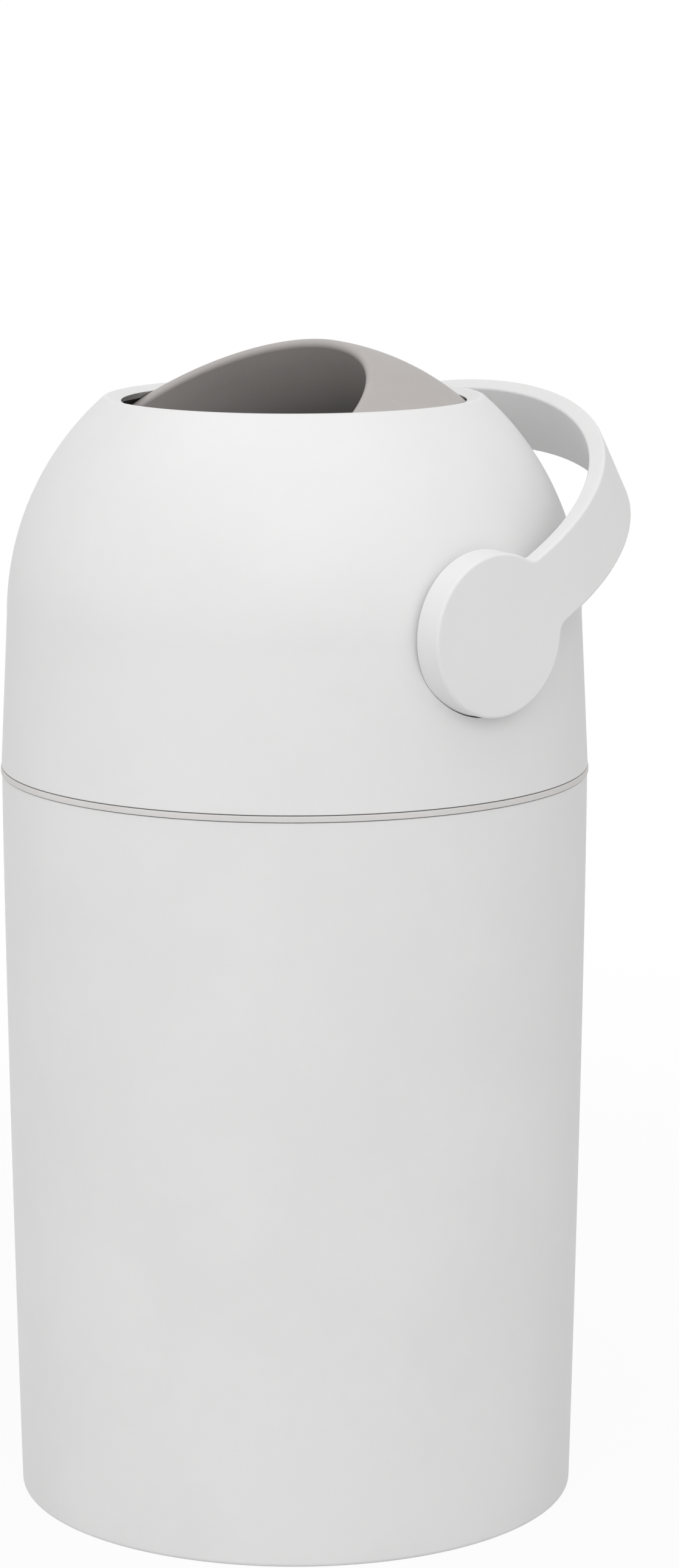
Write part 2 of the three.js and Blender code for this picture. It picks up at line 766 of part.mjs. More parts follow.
// The strap's middle line, as places with the outward direction at each, from the right disc to the left.
function strapStations() {
  const neckSteps = 3;
  const bowSteps = 18;
  const arm = [strapRoot];
  for (let i = 0; i <= neckSteps; i += 1) {
    arm.push(THREE.MathUtils.lerp(neckStart, neckEnd, i / neckSteps));
  }
  const right = arm.map((reach) => ({ x: strapMiddle, y: reach, nx: 1, ny: 0 }));
  const bow = [];
  const depth = strapReach - strapStraight - strapThickness / 2;
  for (let i = 0; i <= bowSteps; i += 1) {
    const angle = (Math.PI * i) / bowSteps;
    const normal = point(Math.cos(angle) * depth, Math.sin(angle) * strapMiddle).normalize();
    bow.push({
      x: strapMiddle * Math.cos(angle),
      y: strapStraight + depth * Math.sin(angle),
      nx: normal.x,
      ny: normal.y,
    });
  }
  const left = [...right].reverse().map((s) => ({ x: -s.x, y: s.y, nx: -1, ny: 0 }));
  return [...right, ...bow, ...left];
}

function strap() {
  const half = strapThickness / 2;
  const inset = handleRound * (1 - Math.SQRT1_2);
  const sections = strapStations().map((s) => {
    const width = s.y < strapStraight ? neckHalfWidth(s.y) : strapWidth / 2;
    const corners = [
      [half, width - handleRound],
      [half - inset, width - inset],
      [half - handleRound, width],
      [handleRound - half, width],
      [inset - half, width - inset],
      [-half, width - handleRound],
    ];
    const mirrored = [...corners].reverse().map(([out, up]) => [out, -up]);
    return [...corners, ...mirrored].map(
      ([out, up]) => new THREE.Vector3(s.x + s.nx * out, s.y + s.ny * out, up),
    );
  });
  return solid(loft(sections));
}

// One disc with its stub, stop lug and square drive.
function handleEnd(side) {
  const back = seatPlane + discSink;
  const edge = discFace - handleRound;
  const outline = [
    point(0, back),
    point(discRadius + discFlare, back),
    ...arc(point(discRadius - handleRound, edge), handleRound, 0, Math.PI / 2, 2),
    point(0, discFace),
  ];
  const disc = solid(turnedAboutX(outline, side, shellFacets));
  const stub = solid(turnedAboutX(rod(stubRadius, trunnionFace + seatGap, back + weldDepth), side));
  const drive = new THREE.BoxGeometry(driveLength + weldDepth, driveWidth, driveWidth);
  drive.translate(side * (driveEnd + (driveLength + weldDepth) / 2), 0, 0);
  const half = stubLugAngle / 2;
  const [lugFrom, lugTo] = [bushInnerFace + seatGap, back + weldDepth];
  const lug = wedgeAboutX(stubRadius + stubLugDepth, -half, half, lugFrom, lugTo, side);
  const pilotEnd = hubHeadFace + hubScrewLength + seatGap;
  const pilot = turnedAboutX(rod(stubHoleRadius, driveEnd - overrun, pilotEnd), side, screwFacets);
  return disc.add(stub).add(solid(drive)).add(solid(lug)).subtract(solid(pilot));
}

function handle() {
  return piece("handle", strap().add(handleEnd(1)).add(handleEnd(-1)), white);
}

function hubScrew(name, side) {
  const mesh = screw(name, hubScrewLength);
  mesh.rotation.y = (-side * Math.PI) / 2;
  mesh.position.x = side * hubHeadFace;
  return mesh;
}

// Piston, in the drum's frame with its own middle at the origin.

const pistonRadius = drumBoreRadius - pistonGap;
const pistonFaceRadius = boreRadiusAt(drumTaperFoot + pistonTaper) - pistonGap;
const wiperRadius = pistonRadius - wiperDepth;
const weightRadius = pistonRadius - weightInset;
const ribRadius = pistonRadius - ribInset;

// One cup's outline, opening downwards, with its face at the top.
function pistonCupOutline(withSpigot) {
  const face = pistonThickness / 2;
  const grooveTop = face - wiperFromFace;
  const grooveBottom = grooveTop - wiperHeight - 2 * seatGap;
  const wallInner = pistonRadius - pistonWall;
  const grooveInner = wiperRadius - pistonWall;
  const ceiling = face - pistonWall;
  const ribEnd = weightThickness / 2 + seatGap;
  const spigotOuter = wallInner - seatGap;
  const spigotInner = spigotOuter - ribWall;
  const spigot = [
    point(spigotOuter, halfSplit),
    point(spigotOuter, -pistonSpigot),
    point(spigotInner, -pistonSpigot),
    point(spigotInner, grooveBottom - pistonWall),
  ];
  return [
    point(0, face - pistonDish),
    point(ribRadius, face - pistonDish),
    point(pistonFaceRadius - pistonEdge, face),
    point(THREE.MathUtils.lerp(pistonFaceRadius, pistonRadius, pistonEdge / pistonTaper), face - pistonEdge),
    point(pistonRadius, face - pistonTaper),
    point(pistonRadius, grooveTop),
    point(wiperRadius, grooveTop),
    point(wiperRadius, grooveBottom),
    point(pistonRadius, grooveBottom),
    point(pistonRadius, halfSplit),
    ...(withSpigot ? spigot : [point(wallInner, halfSplit), point(wallInner, grooveBottom - pistonWall)]),
    point(grooveInner, grooveBottom - pistonWall),
    point(grooveInner, ceiling - pistonDish),
    point(ribRadius + ribWall, ceiling - pistonDish),
    point(ribRadius + ribWall, ribEnd),
    point(ribRadius, ribEnd),
    point(ribRadius, ceiling - pistonDish),
    point(0, ceiling - pistonDish),
  ];
}

function pistonTopCup() {
  return piece("piston_top_cup", solid(turned(pistonCupOutline(true), pistonFacets)), paleGrey);
}

function pistonBottomCup() {
  const outline = pistonCupOutline(false).map((p) => point(p.x, -p.y));
  return piece("piston_bottom_cup", solid(turned(outline, pistonFacets)), paleGrey);
}

function pistonWeight() {
  const half = weightThickness / 2;
  return piece("piston_weight", solid(turned(rod(weightRadius, -half, half), pistonFacets)), steel);
}

function pistonWiper(name, side) {
  const top = pistonThickness / 2 - wiperFromFace - seatGap;
  const outer = drumBoreRadius - seatGap;
  const outline = [
    point(wiperRadius + seatGap, side * top),
    point(wiperRadius + seatGap, side * (top - wiperHeight)),
    point(outer, side * (top - wiperHeight)),
    point(outer, side * (top - wiperHeight / 2)),
    point(outer - seatGap, side * top),
  ];
  return piece(name, solid(turned(outline, pistonFacets)), sealGrey);
}

// Assembly

const pistonSeat = drumTaperFoot + pistonTaper;

const piston = new THREE.Group();
piston.position.z = pistonThickness / 2 - pistonSeat;
piston.add(
  pistonTopCup(),
  pistonBottomCup(),
  pistonWeight(),
  pistonWiper("piston_top_wiper", 1),
  pistonWiper("piston_bottom_wiper", -1),
);

const drum = new THREE.Group();
drum.position.z = pivotHeight;
drum.rotation.x = drumLift;
drum.add(drumTopHalf(), drumBottomHalf(), handle());
drum.add(hubScrew("hub_screw_right", 1), hubScrew("hub_screw_left", -1));
drum.add(piston);

const head = new THREE.Group();
head.add(headShell(), drumCradle(), topDrumSeal(), bottomDrumSeal());
head.add(pivotBush("pivot_bush_right", 1), pivotBush("pivot_bush_left", -1));
spread(cradleScrews, 180 / cradleScrews).forEach((angle, i) => head.add(cradleScrew(i + 1, angle)));
head.add(drum);

const bin = new THREE.Group();
bin.add(bucket(), bagRing(), lidSeal(), head);

export default bin;
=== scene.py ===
# Looks of the nappy bin: a white bucket and domed head, a grey ball drum and a bow handle, on a pale floor.
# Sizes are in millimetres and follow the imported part. MM turns them into metres.
import math

import bmesh
import bpy
from mathutils import Matrix, Vector


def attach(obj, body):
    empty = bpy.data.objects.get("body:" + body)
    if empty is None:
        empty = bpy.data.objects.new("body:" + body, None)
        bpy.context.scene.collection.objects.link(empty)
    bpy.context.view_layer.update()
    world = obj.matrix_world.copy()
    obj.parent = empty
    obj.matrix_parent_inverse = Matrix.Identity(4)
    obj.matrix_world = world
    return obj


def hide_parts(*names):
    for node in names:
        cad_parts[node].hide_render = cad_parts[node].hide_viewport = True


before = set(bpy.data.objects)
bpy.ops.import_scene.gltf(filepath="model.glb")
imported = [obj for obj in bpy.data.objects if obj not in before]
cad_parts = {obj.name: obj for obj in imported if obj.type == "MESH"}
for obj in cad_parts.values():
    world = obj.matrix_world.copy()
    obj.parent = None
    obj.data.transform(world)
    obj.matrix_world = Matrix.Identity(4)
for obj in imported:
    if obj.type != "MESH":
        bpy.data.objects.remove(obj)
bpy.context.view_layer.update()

MM = 0.001
UP = Vector((0, 0, 1))

# Smoothness
ROUND_STEPS = 160
PIVOT_STEPS = 96
SMALL_STEPS = 32
DOME_STEPS = 40
DRUM_STEPS = 44
WALL_STEPS = 24
BOWL_STEPS = 16
FILLET_STEPS = 8
SEAL_STEPS = 4
BOW_STEPS = 400
BOW_SLICES = 56
SHARP_ANGLE = 32
TINY = 1e-7
MERGE = 1e-5

# How far up a face points, from 0 for a wall to 1 for a top
LEVEL = 0.5
STEEP = 0.9

# Clearances
SEAT_GAP = 0.3
SEAM_GAP = 0.35
TURN_GAP = 0.6
DRUM_GAP = 0.8
SEAL_GAP = 0.45
OVERRUN = 1
WELD = 0.6
SLIVER = 0.1

# How far edges are rounded
SCREW_EDGE = 0.15
KEEN_EDGE = 0.2
FINE_EDGE = 0.3
PLAIN_EDGE = 0.4
SOFT_EDGE = 0.5
BLUNT_EDGE = 0.6
FULL_EDGE = 0.7
COLLAR_EDGE = 0.8
SKIRT_EDGE = 0.9
SHOULDER_EDGE = 1.2

# Drum
DRUM_RADIUS = 110.3
DRUM_WALL = 2.4
MOUTH_RADIUS = 66.95
LIP_ROUND = 2.3
LIP_STEP = 2.45
TAPER_LENGTH = 16.9
TAPER_SOFT = 7
DRUM_SPLIT = 0.3
SPLIT_SOFT = 0.25
SPIGOT_DEPTH = 4
SPIGOT_WALL = 3
SPIGOT_ROOT = 6

# Snap tongues that hold the drum's halves together
TONGUES = 4
TONGUE_WIDTH = 10
TONGUE_WALL = 0.9
TONGUE_REACH = 7.3
TONGUE_BARB = 1
TONGUE_BARB_HEIGHT = 1.4
TONGUE_TIP = 2
LEDGE_HEIGHT = 3.2

# Head
DOME_RISE = 10.3
DOME_DROP = 4.5
SKIRT_DRAFT = 3.1
HEAD_WALL = 2.8
PIVOT_MARGIN = 12.95
OPENING_MARGIN = 0.25
CREASE_WIDTH = 6.8
CREASE_SOFT = 1.4
RIM_ROUND = 0.5
RIM_DEPTH = 3
START_RISE = 3

# Bucket
BUCKET_HEIGHT = 311.6
BUCKET_INSET = 0.2
BUCKET_TAPER = 5
BUCKET_WALL = 2.6
BUCKET_FLOOR = 3
BUCKET_FILLET = 2
BUCKET_INNER_FILLET = 3
BUCKET_FLARE = 1.45
BASE_PAD_RADIUS = 40
STANDING_RING = 12
BASE_RECESS = 1.8

# Bag ring and lid seal
RING_PROUD = 0.3
RING_BAND = 2.4
RING_SKIRT_DEPTH = 16
RING_SKIRT_WALL = 2.4
RING_SKIRT_GAP = 0.4
COLLAR_HEIGHT = 14
COLLAR_WALL = 4.2
SHOULDER_DROP = 4
LID_SEAL_HEIGHT = 2.7

# Bayonet
LUGS = 3
LUG_TURN = 18
LUG_ANGLE = 12
LUG_SLACK = 1.2
LUG_RISE = 3.8
LUG_HEIGHT = 3.8
LUG_DEPTH = 2.4
CHANNEL_DEPTH = 1.9

# Cradle and drum seals
CRADLE_GAP = 2.5
CRADLE_WALL = 2.4
THROAT_MARGIN = 0.7
CRADLE_LIP = 1.8
CRADLE_FLANGE = 2.5
SEAL_RIB_WALL = 1
SEAL_RIB_HEIGHT = 1.5
CRADLE_SCREWS = 4
CRADLE_SCREW_INSET = 13.7
BOSS_RADIUS = 4.2
BOSS_HEIGHT = 12.6
BOSS_WEB = 3
TOP_SEAL_HEIGHT = 6.3
BOTTOM_SEAL_WIDTH = 6

# Pivots
SEAT_DEPTH = 3
SEAT_WALL = 2.7
POCKET_GAP = 0.15
POCKET_WALL = 2
DISC_SINK = 0.5
BUSH_WALL = 3.6
BUSH_FLANGE_WIDTH = 3
BUSH_FLANGE = 2
STUB_RADIUS = 10.1
STUB_LUG_DEPTH = 2
STUB_LUG_ANGLE = 24
STUB_STOP_SLACK = 1.5
DRIVE_WIDTH = 13.6
DRIVE_LENGTH = 12.6
DRIVE_EDGE = 0.8
TRUNNION_RADIUS = 14.5
TRUNNION_PROUD = 1.7

# Handle
HANDLE_LIFT = math.radians(30)
DISC_RADIUS = 33.2
DISC_FLARE = 0.5
DISC_THICKNESS = 11.8
HANDLE_ROUND = 1.3
HANDLE_BACK_ROUND = 1.04
STRAP_THICKNESS = 7.35
STRAP_WIDTH = 31
STRAP_STRAIGHT = 36.6
FINGER_ROOM = 16.85
NECK_FILLET = 6

# Piston
PISTON_THICKNESS = 42
PISTON_GAP = 0.7
PISTON_WALL = 2.4
PISTON_TAPER = 12
PISTON_EDGE = 1.2
PISTON_DISH = 1.2
DISH_ROUND = 3
WIPER_FROM_FACE = 12.6
WIPER_HEIGHT = 2.4
WIPER_DEPTH = 2.2
PISTON_SPIGOT = 2.5
WEIGHT_INSET = 16.7
WEIGHT_THICKNESS = 7
RIB_WALL = 2
RIB_INSET = 28.7

# Screws
SCREW_SHANK = 1.9
SCREW_HEAD_RADIUS = 3.4
SCREW_HEAD_HEIGHT = 2.2
THREAD_PITCH = 1.1
THREAD_DEPTH = 0.4
CROSS_LENGTH = 3.6
CROSS_WIDTH = 0.8
CROSS_DEPTH = 1.3
CROSS_TAPER = 0.6
CRADLE_SCREW_LENGTH = 13
HUB_SCREW_BITE = 6.7
HUB_SCREW_SINK = 1


def leg(hypotenuse, other):
    return math.sqrt(hypotenuse**2 - other**2)


# Levels and radii that follow
RING_UNDERSIDE = BUCKET_HEIGHT + SEAM_GAP
RING_TOP = RING_UNDERSIDE + RING_BAND
COLLAR_TOP = RING_TOP + COLLAR_HEIGHT
HEAD_BOTTOM = RING_TOP + SEAM_GAP
FLANGE_UNDERSIDE = COLLAR_TOP + LID_SEAL_HEIGHT + 2 * SEAT_GAP
FLANGE_TOP = FLANGE_UNDERSIDE + CRADLE_FLANGE
POCKET_RADIUS = DISC_RADIUS + DISC_FLARE + POCKET_GAP
SEAT_PAD_RADIUS = POCKET_RADIUS + POCKET_WALL
PIVOT_HEIGHT = FLANGE_TOP + SEAT_PAD_RADIUS + PIVOT_MARGIN
DOME_HEIGHT = PIVOT_HEIGHT - DOME_DROP
DOME_RADIUS = DRUM_RADIUS + DOME_RISE
HEAD_SKIRT_RADIUS = DOME_RADIUS + SKIRT_DRAFT
BUCKET_TOP_RADIUS = HEAD_SKIRT_RADIUS - BUCKET_INSET
BUCKET_BASE_RADIUS = BUCKET_TOP_RADIUS - BUCKET_TAPER
RING_RADIUS = HEAD_SKIRT_RADIUS + RING_PROUD
SKIRT_RADIUS = BUCKET_TOP_RADIUS - BUCKET_WALL - RING_SKIRT_GAP
COLLAR_RADIUS = HEAD_SKIRT_RADIUS - HEAD_WALL - 2 * TURN_GAP
COLLAR_INNER = COLLAR_RADIUS - COLLAR_WALL
CLEAR_RADIUS = DRUM_RADIUS + DRUM_GAP
SEAL_RADIUS = DRUM_RADIUS + SEAL_GAP
HALF_SPLIT = DRUM_SPLIT / 2
BORE_RADIUS = MOUTH_RADIUS + LIP_STEP
CAVITY_RADIUS = DRUM_RADIUS - DRUM_WALL
SPIGOT_RADIUS = CAVITY_RADIUS - SEAT_GAP
OPENING_RADIUS = MOUTH_RADIUS + 2 * LIP_ROUND + OPENING_MARGIN
CREASE_RADIUS = OPENING_RADIUS + CREASE_WIDTH
OPENING_EDGE = PIVOT_HEIGHT + leg(CLEAR_RADIUS, OPENING_RADIUS)
RIM_UNDERSIDE = OPENING_EDGE - RIM_DEPTH
CRADLE_RADIUS = DRUM_RADIUS + CRADLE_GAP
THROAT_RADIUS = OPENING_RADIUS + THROAT_MARGIN
SCREW_CIRCLE = HEAD_SKIRT_RADIUS - CRADLE_SCREW_INSET
SEAT_PLANE = DOME_RADIUS - SEAT_DEPTH
DISC_FACE = SEAT_PLANE + DISC_SINK + DISC_THICKNESS
STRAP_MIDDLE = DISC_FACE - STRAP_THICKNESS / 2
STRAP_REACH = DOME_RADIUS + FINGER_ROOM + STRAP_THICKNESS
SCREW_HOLE = SCREW_SHANK + SEAT_GAP
BUSH_BORE = STUB_RADIUS + SEAT_GAP
BUSH_RADIUS = BUSH_BORE + BUSH_WALL
BUSH_FACE = SEAT_PLANE - SEAT_WALL - SEAT_GAP - BUSH_FLANGE
TRUNNION_FACE = DRUM_RADIUS + TRUNNION_PROUD
DRIVE_END = TRUNNION_FACE + SEAT_GAP - DRIVE_LENGTH
HUB_HEAD_FACE = BORE_RADIUS + HUB_SCREW_SINK
HUB_SCREW_LENGTH = DRIVE_END + HUB_SCREW_BITE - HUB_HEAD_FACE
LIP_RADIUS = MOUTH_RADIUS + LIP_ROUND
LIP_RISE = leg(DRUM_RADIUS - LIP_ROUND, LIP_RADIUS)
TAPER_FOOT = LIP_RISE - TAPER_LENGTH
LUG_BOTTOM = HEAD_BOTTOM + LUG_RISE
LUG_TOP = LUG_BOTTOM + LUG_HEIGHT
BOSS_BOTTOM = FLANGE_TOP + SEAT_GAP
PISTON_RADIUS = BORE_RADIUS - PISTON_GAP
PISTON_FACE_RADIUS = BORE_RADIUS - LIP_STEP * PISTON_TAPER / TAPER_LENGTH - PISTON_GAP
WIPER_RADIUS = PISTON_RADIUS - WIPER_DEPTH
RIB_RADIUS = PISTON_RADIUS - RIB_INSET
PISTON_REST = PISTON_THICKNESS / 2 - TAPER_FOOT - PISTON_TAPER


def head_inner_at(height):
    """The radius of the skirt's inner wall at a height below the dome."""
    share = (height - HEAD_BOTTOM) / (DOME_HEIGHT - HEAD_BOTTOM)
    return HEAD_SKIRT_RADIUS + (DOME_RADIUS - HEAD_SKIRT_RADIUS) * share - HEAD_WALL


# Materials


class Signal:
    """A shader socket that can stand in a Python expression."""

    def __init__(self, paint, socket):
        self.paint = paint
        self.socket = socket

    def _math(self, operation, first, second):
        made = self.paint.node("ShaderNodeMath", {"operation": operation}, {0: first, 1: second})
        return made.out("Value")

    def __add__(self, other):
        return self._math("ADD", self, other)

    __radd__ = __add__

    def __mul__(self, other):
        return self._math("MULTIPLY", self, other)

    __rmul__ = __mul__

    def __sub__(self, other):
        return self._math("SUBTRACT", self, other)

    def __rsub__(self, other):
        return self._math("SUBTRACT", other, self)


class Made:
    """A node that was just made, whose outputs are read as signals."""

    def __init__(self, paint, node):
        self.paint = paint
        self.node = node

    def out(self, name):
        return Signal(self.paint, self.node.outputs[name])


class Paint:
    """The nodes of a material or of the world, with the object's own coordinates."""

    def __init__(self, owner):
        self.owner = owner
        owner.use_nodes = True
        self.tree = owner.node_tree
        self.surface = self.tree.nodes.get("Principled BSDF")
        self.place = self.node("ShaderNodeTexCoord").out("Object")

    def node(self, kind, settings=None, inputs=None):
        node = self.tree.nodes.new(kind)
        for name, value in (settings or {}).items():
            setattr(node, name, value)
        for name, value in (inputs or {}).items():
            self.feed(node.inputs[name], value)
        return Made(self, node)

    def feed(self, socket, value):
        if isinstance(value, Signal):
            self.tree.links.new(value.socket, socket)
        else:
            socket.default_value = value

    def set(self, **values):
        for name, value in values.items():
            self.feed(self.surface.inputs[name.replace("_", " ")], value)

    def show(self, shader):
        """Sends a shader to the output in place of what was there."""
        output = next(node for node in self.tree.nodes if node.type.startswith("OUTPUT"))
        self.feed(output.inputs["Surface"], shader)

    def noise(self, size, detail=2.0, roughness=0.5, place=None):
        """Soft noise from 0 to 1, whose blotches are about size millimetres across."""
        inputs = {"Vector": place or self.place, "Scale": 1 / (size * MM)}
        inputs |= {"Detail": detail, "Roughness": roughness}
        return self.node("ShaderNodeTexNoise", {"noise_dimensions": "3D"}, inputs).out("Fac")

    def fade(self, value, low, high):
        """0 below low and 1 above high, with a soft step between."""
        inputs = {"Value": value, "From Min": low, "From Max": high}
        return self.node("ShaderNodeMapRange", {"interpolation_type": "SMOOTHSTEP"}, inputs).out("Result")

    def blend(self, share, first, second):
        made = self.node("ShaderNodeMix", {"data_type": "RGBA"}, {0: share, 6: first, 7: second})
        return Signal(self, made.node.outputs[2])

    def bump(self, height, depth):
        """Bumps of depth millimetres where height goes from 0 to 1."""
        inputs = {"Height": height, "Distance": depth * MM, "Strength": 1.0}
        return self.node("ShaderNodeBump", None, inputs).out("Normal")

    def length(self, place):
        return self.node("ShaderNodeVectorMath", {"operation": "LENGTH"}, {0: place}).out("Value")

    def seen(self):
        """1 for what is seen straight on, in gloss or through glass, and 0 for what lights the object."""
        path = self.node("ShaderNodeLightPath")
        hidden = (1 - path.out("Is Camera Ray")) * (1 - path.out("Is Glossy Ray"))
        return 1 - hidden * (1 - path.out("Is Transmission Ray"))


def finish_of(name):
    return Paint(bpy.data.materials.new(name))


def rgb(red, green, blue):
    """A colour as it reads on a screen, from 0 to 255, as levels of light."""
    channels = []
    for level in (red, green, blue):
        share = level / 255
        channels.append(share / 12.92 if share <= 0.04045 else ((share + 0.055) / 1.055) ** 2.4)
    return (*channels, 1)


def shade_of(colour, share):
    return (*(min(1.0, channel * share) for channel in colour[:3]), 1)


DUST = rgb(150, 144, 136)
MOTE = rgb(226, 224, 220)
SCUFF_STRETCH = 9
# Painted shade in the drum's bore: how dark it gets, between what distances outside the bore's wall it
# fades out, and how far below the lips it is full and where it starts
BORE_SHADE = 0.3
BORE_SHADE_WALL = (0.4, 1.2)
BORE_SHADE_DEPTHS = (42, 2)
SATIN = 0.4
GRAIN_DEPTH = 0.03


def bore_shade_mask(paint):
    """Where painted shade darkens the drum: 0 on the drum's ball and beside its lips, and 1 deep in its
    bore.
    """
    own = paint.node(
        "ShaderNodeMapping",
        {"vector_type": "TEXTURE"},
        {"Vector": paint.place, "Location": (0, 0, PIVOT_HEIGHT * MM), "Rotation": (HANDLE_LIFT, 0, 0)},
    ).out("Vector")

    def length(parts):
        kept = paint.node("ShaderNodeVectorMath", {"operation": "MULTIPLY"}, {0: own, 1: parts})
        return paint.length(kept.out("Vector"))

    across, along = length((1, 1, 0)), length((0, 0, 1))
    wall, skin = ((BORE_RADIUS + depth) * MM for depth in BORE_SHADE_WALL)
    deep, shallow = ((LIP_RISE - depth) * MM for depth in BORE_SHADE_DEPTHS)
    return (1 - paint.fade(across, wall, skin)) * (1 - paint.fade(along, deep, shallow))


def moulded_plastic(name, colour, roughness, mottle=0.03, dust=0.0, scuffs=0.0, specks=0.0, deep=0.0):
    """Spark-eroded moulding: a fine even grain, faint flow mottling, and a little handling wear; deep adds
    painted shade, darker further into the drum's bore.
    """
    paint = finish_of(name)
    flow = paint.noise(70, detail=3)
    cloud = paint.noise(9, detail=2)
    grain = paint.noise(0.5, detail=3, roughness=0.65)
    pits = paint.noise(1.5, detail=1)
    mix = paint.fade(0.7 * flow + 0.15 * cloud + 0.15 * grain, 0.38, 0.62)
    tone = paint.blend(mix, shade_of(colour, 1 - mottle), shade_of(colour, 1 + mottle))
    wear = paint.fade(paint.noise(24, detail=5, roughness=0.7), 0.6, 0.78)
    if dust:
        tone = paint.blend(wear * dust, tone, DUST)
    rough = roughness + 0.06 * grain + 0.05 * flow
    if scuffs:
        inputs = {"Vector": paint.place, "Scale": (1, 1, SCUFF_STRETCH)}
        stretched = paint.node("ShaderNodeMapping", {"vector_type": "TEXTURE"}, inputs).out("Vector")
        lines = paint.fade(paint.noise(0.9, detail=4, roughness=0.8, place=stretched), 0.66, 0.72)
        rough = rough - scuffs * lines * wear
    if specks:
        motes = paint.fade(paint.noise(0.7, detail=0), 0.81, 0.84)
        tone = paint.blend(motes * specks, tone, MOTE)
    # Painted shade: the drum's bore is darkened further in, where little light reaches.
    if deep:
        tone = paint.blend(bore_shade_mask(paint) * deep, tone, shade_of(colour, BORE_SHADE))
    paint.set(Base_Color=tone, Roughness=rough, Specular_IOR_Level=SATIN)
    paint.set(Normal=paint.bump(grain * 0.8 + pits * 0.2, GRAIN_DEPTH))
    return paint.owner


def seal_rubber(name):
    paint = finish_of(name)
    skin = paint.noise(0.8, detail=4, roughness=0.7)
    bloom = paint.fade(paint.noise(14, detail=4), 0.4, 0.75)
    tone = paint.blend(bloom * 0.5, rgb(34, 32, 31), rgb(48, 46, 44))
    paint.set(Base_Color=tone, Roughness=0.78 + 0.12 * skin, Normal=paint.bump(skin, 0.05))
    return paint.owner


def zinc_steel(name):
    paint = finish_of(name)
    crystals = paint.noise(1.2, detail=3, roughness=0.6)
    stain = paint.fade(paint.noise(5, detail=4), 0.45, 0.8)
    tone = paint.blend(stain * 0.4, (0.62, 0.62, 0.64, 1), (0.45, 0.43, 0.40, 1))
    paint.set(Base_Color=tone, Metallic=1.0, Roughness=0.3 + 0.15 * crystals + 0.1 * stain)
    paint.set(Normal=paint.bump(crystals, 0.01))
    return paint.owner


MILK = rgb(230, 230, 230)
WHITE = moulded_plastic("satin_white", MILK, 0.46, mottle=0.012, scuffs=0.05)
BUCKET_WHITE = moulded_plastic("bucket_white", MILK, 0.46, mottle=0.014, dust=0.02, scuffs=0.08)
# The drum's grey, with painted shade deep in its bore.
DRUM_GREY = moulded_plastic("drum_grey", rgb(177, 172, 170), 0.48, scuffs=0.06, specks=0.5, deep=0.75)
RING_GREY = moulded_plastic("ring_grey", rgb(217, 215, 213), 0.5)
PISTON_GREY = moulded_plastic("piston_grey", rgb(158, 153, 148), 0.42, dust=0.08, scuffs=0.12)
RUBBER = seal_rubber("seal_rubber")
STEEL = zinc_steel("zinc_steel")


# Shapes


def metres(place):
    return [part * MM for part in place]


def shift(x, y, z):
    return Matrix.Translation(metres((x, y, z)))


def about_x(side):
    """Turns a shape about Z into one about X, to the right (1) or to the left (-1)."""
    return Matrix.Rotation(side * math.pi / 2, 4, "Y")


def about_z(degrees):
    return Matrix.Rotation(math.radians(degrees), 4, "Z")


def moved(mesh, matrix):
    bmesh.ops.transform(mesh, matrix=matrix, verts=mesh.verts)
    return mesh


def facing_out(mesh):
    bmesh.ops.recalc_face_normals(mesh, faces=mesh.faces)
    return mesh


def filled(mesh):
    """The face inside a mesh's edges."""
    return bmesh.ops.contextual_create(mesh, geom=mesh.edges[:])["faces"]


def closed(mesh):
    """Fills what is left open in a mesh."""
    missing = [e for e in mesh.edges if e.is_boundary]
    if missing:
        bmesh.ops.contextual_create(mesh, geom=missing)
    return facing_out(mesh)


def drawn_to(mesh, vert, place):
    """A new vertex at a place, joined to another by an edge."""
    made = bmesh.ops.extrude_vert_indiv(mesh, verts=[vert])["verts"][0]
    made.co = metres(place)
    return made


def spun(mesh, items, degrees, steps, middle=(0, 0, 0), axis=UP, **how):
    """Sweeps vertices, edges or a face round a middle point, and gives what the sweep ends with."""
    angle = math.radians(degrees)
    return bmesh.ops.spin(mesh, geom=items, cent=metres(middle), axis=axis, angle=angle, steps=steps, **how)


def everything(mesh):
    return mesh.verts[:] + mesh.edges[:] + mesh.faces[:]


def sliced(mesh, place, normal, **how):
    """Cuts a mesh's faces along a plane through a place."""
    bmesh.ops.bisect_plane(mesh, geom=everything(mesh), plane_co=metres(place), plane_no=normal, **how)


def rounded(mesh, items, radius, segments, affect="EDGES"):
    bmesh.ops.bevel(
        mesh,
        geom=items,
        offset=radius * MM,
        offset_type="OFFSET",
        affect=affect,
        segments=segments,
        profile=0.5,
        material=-1,
    )


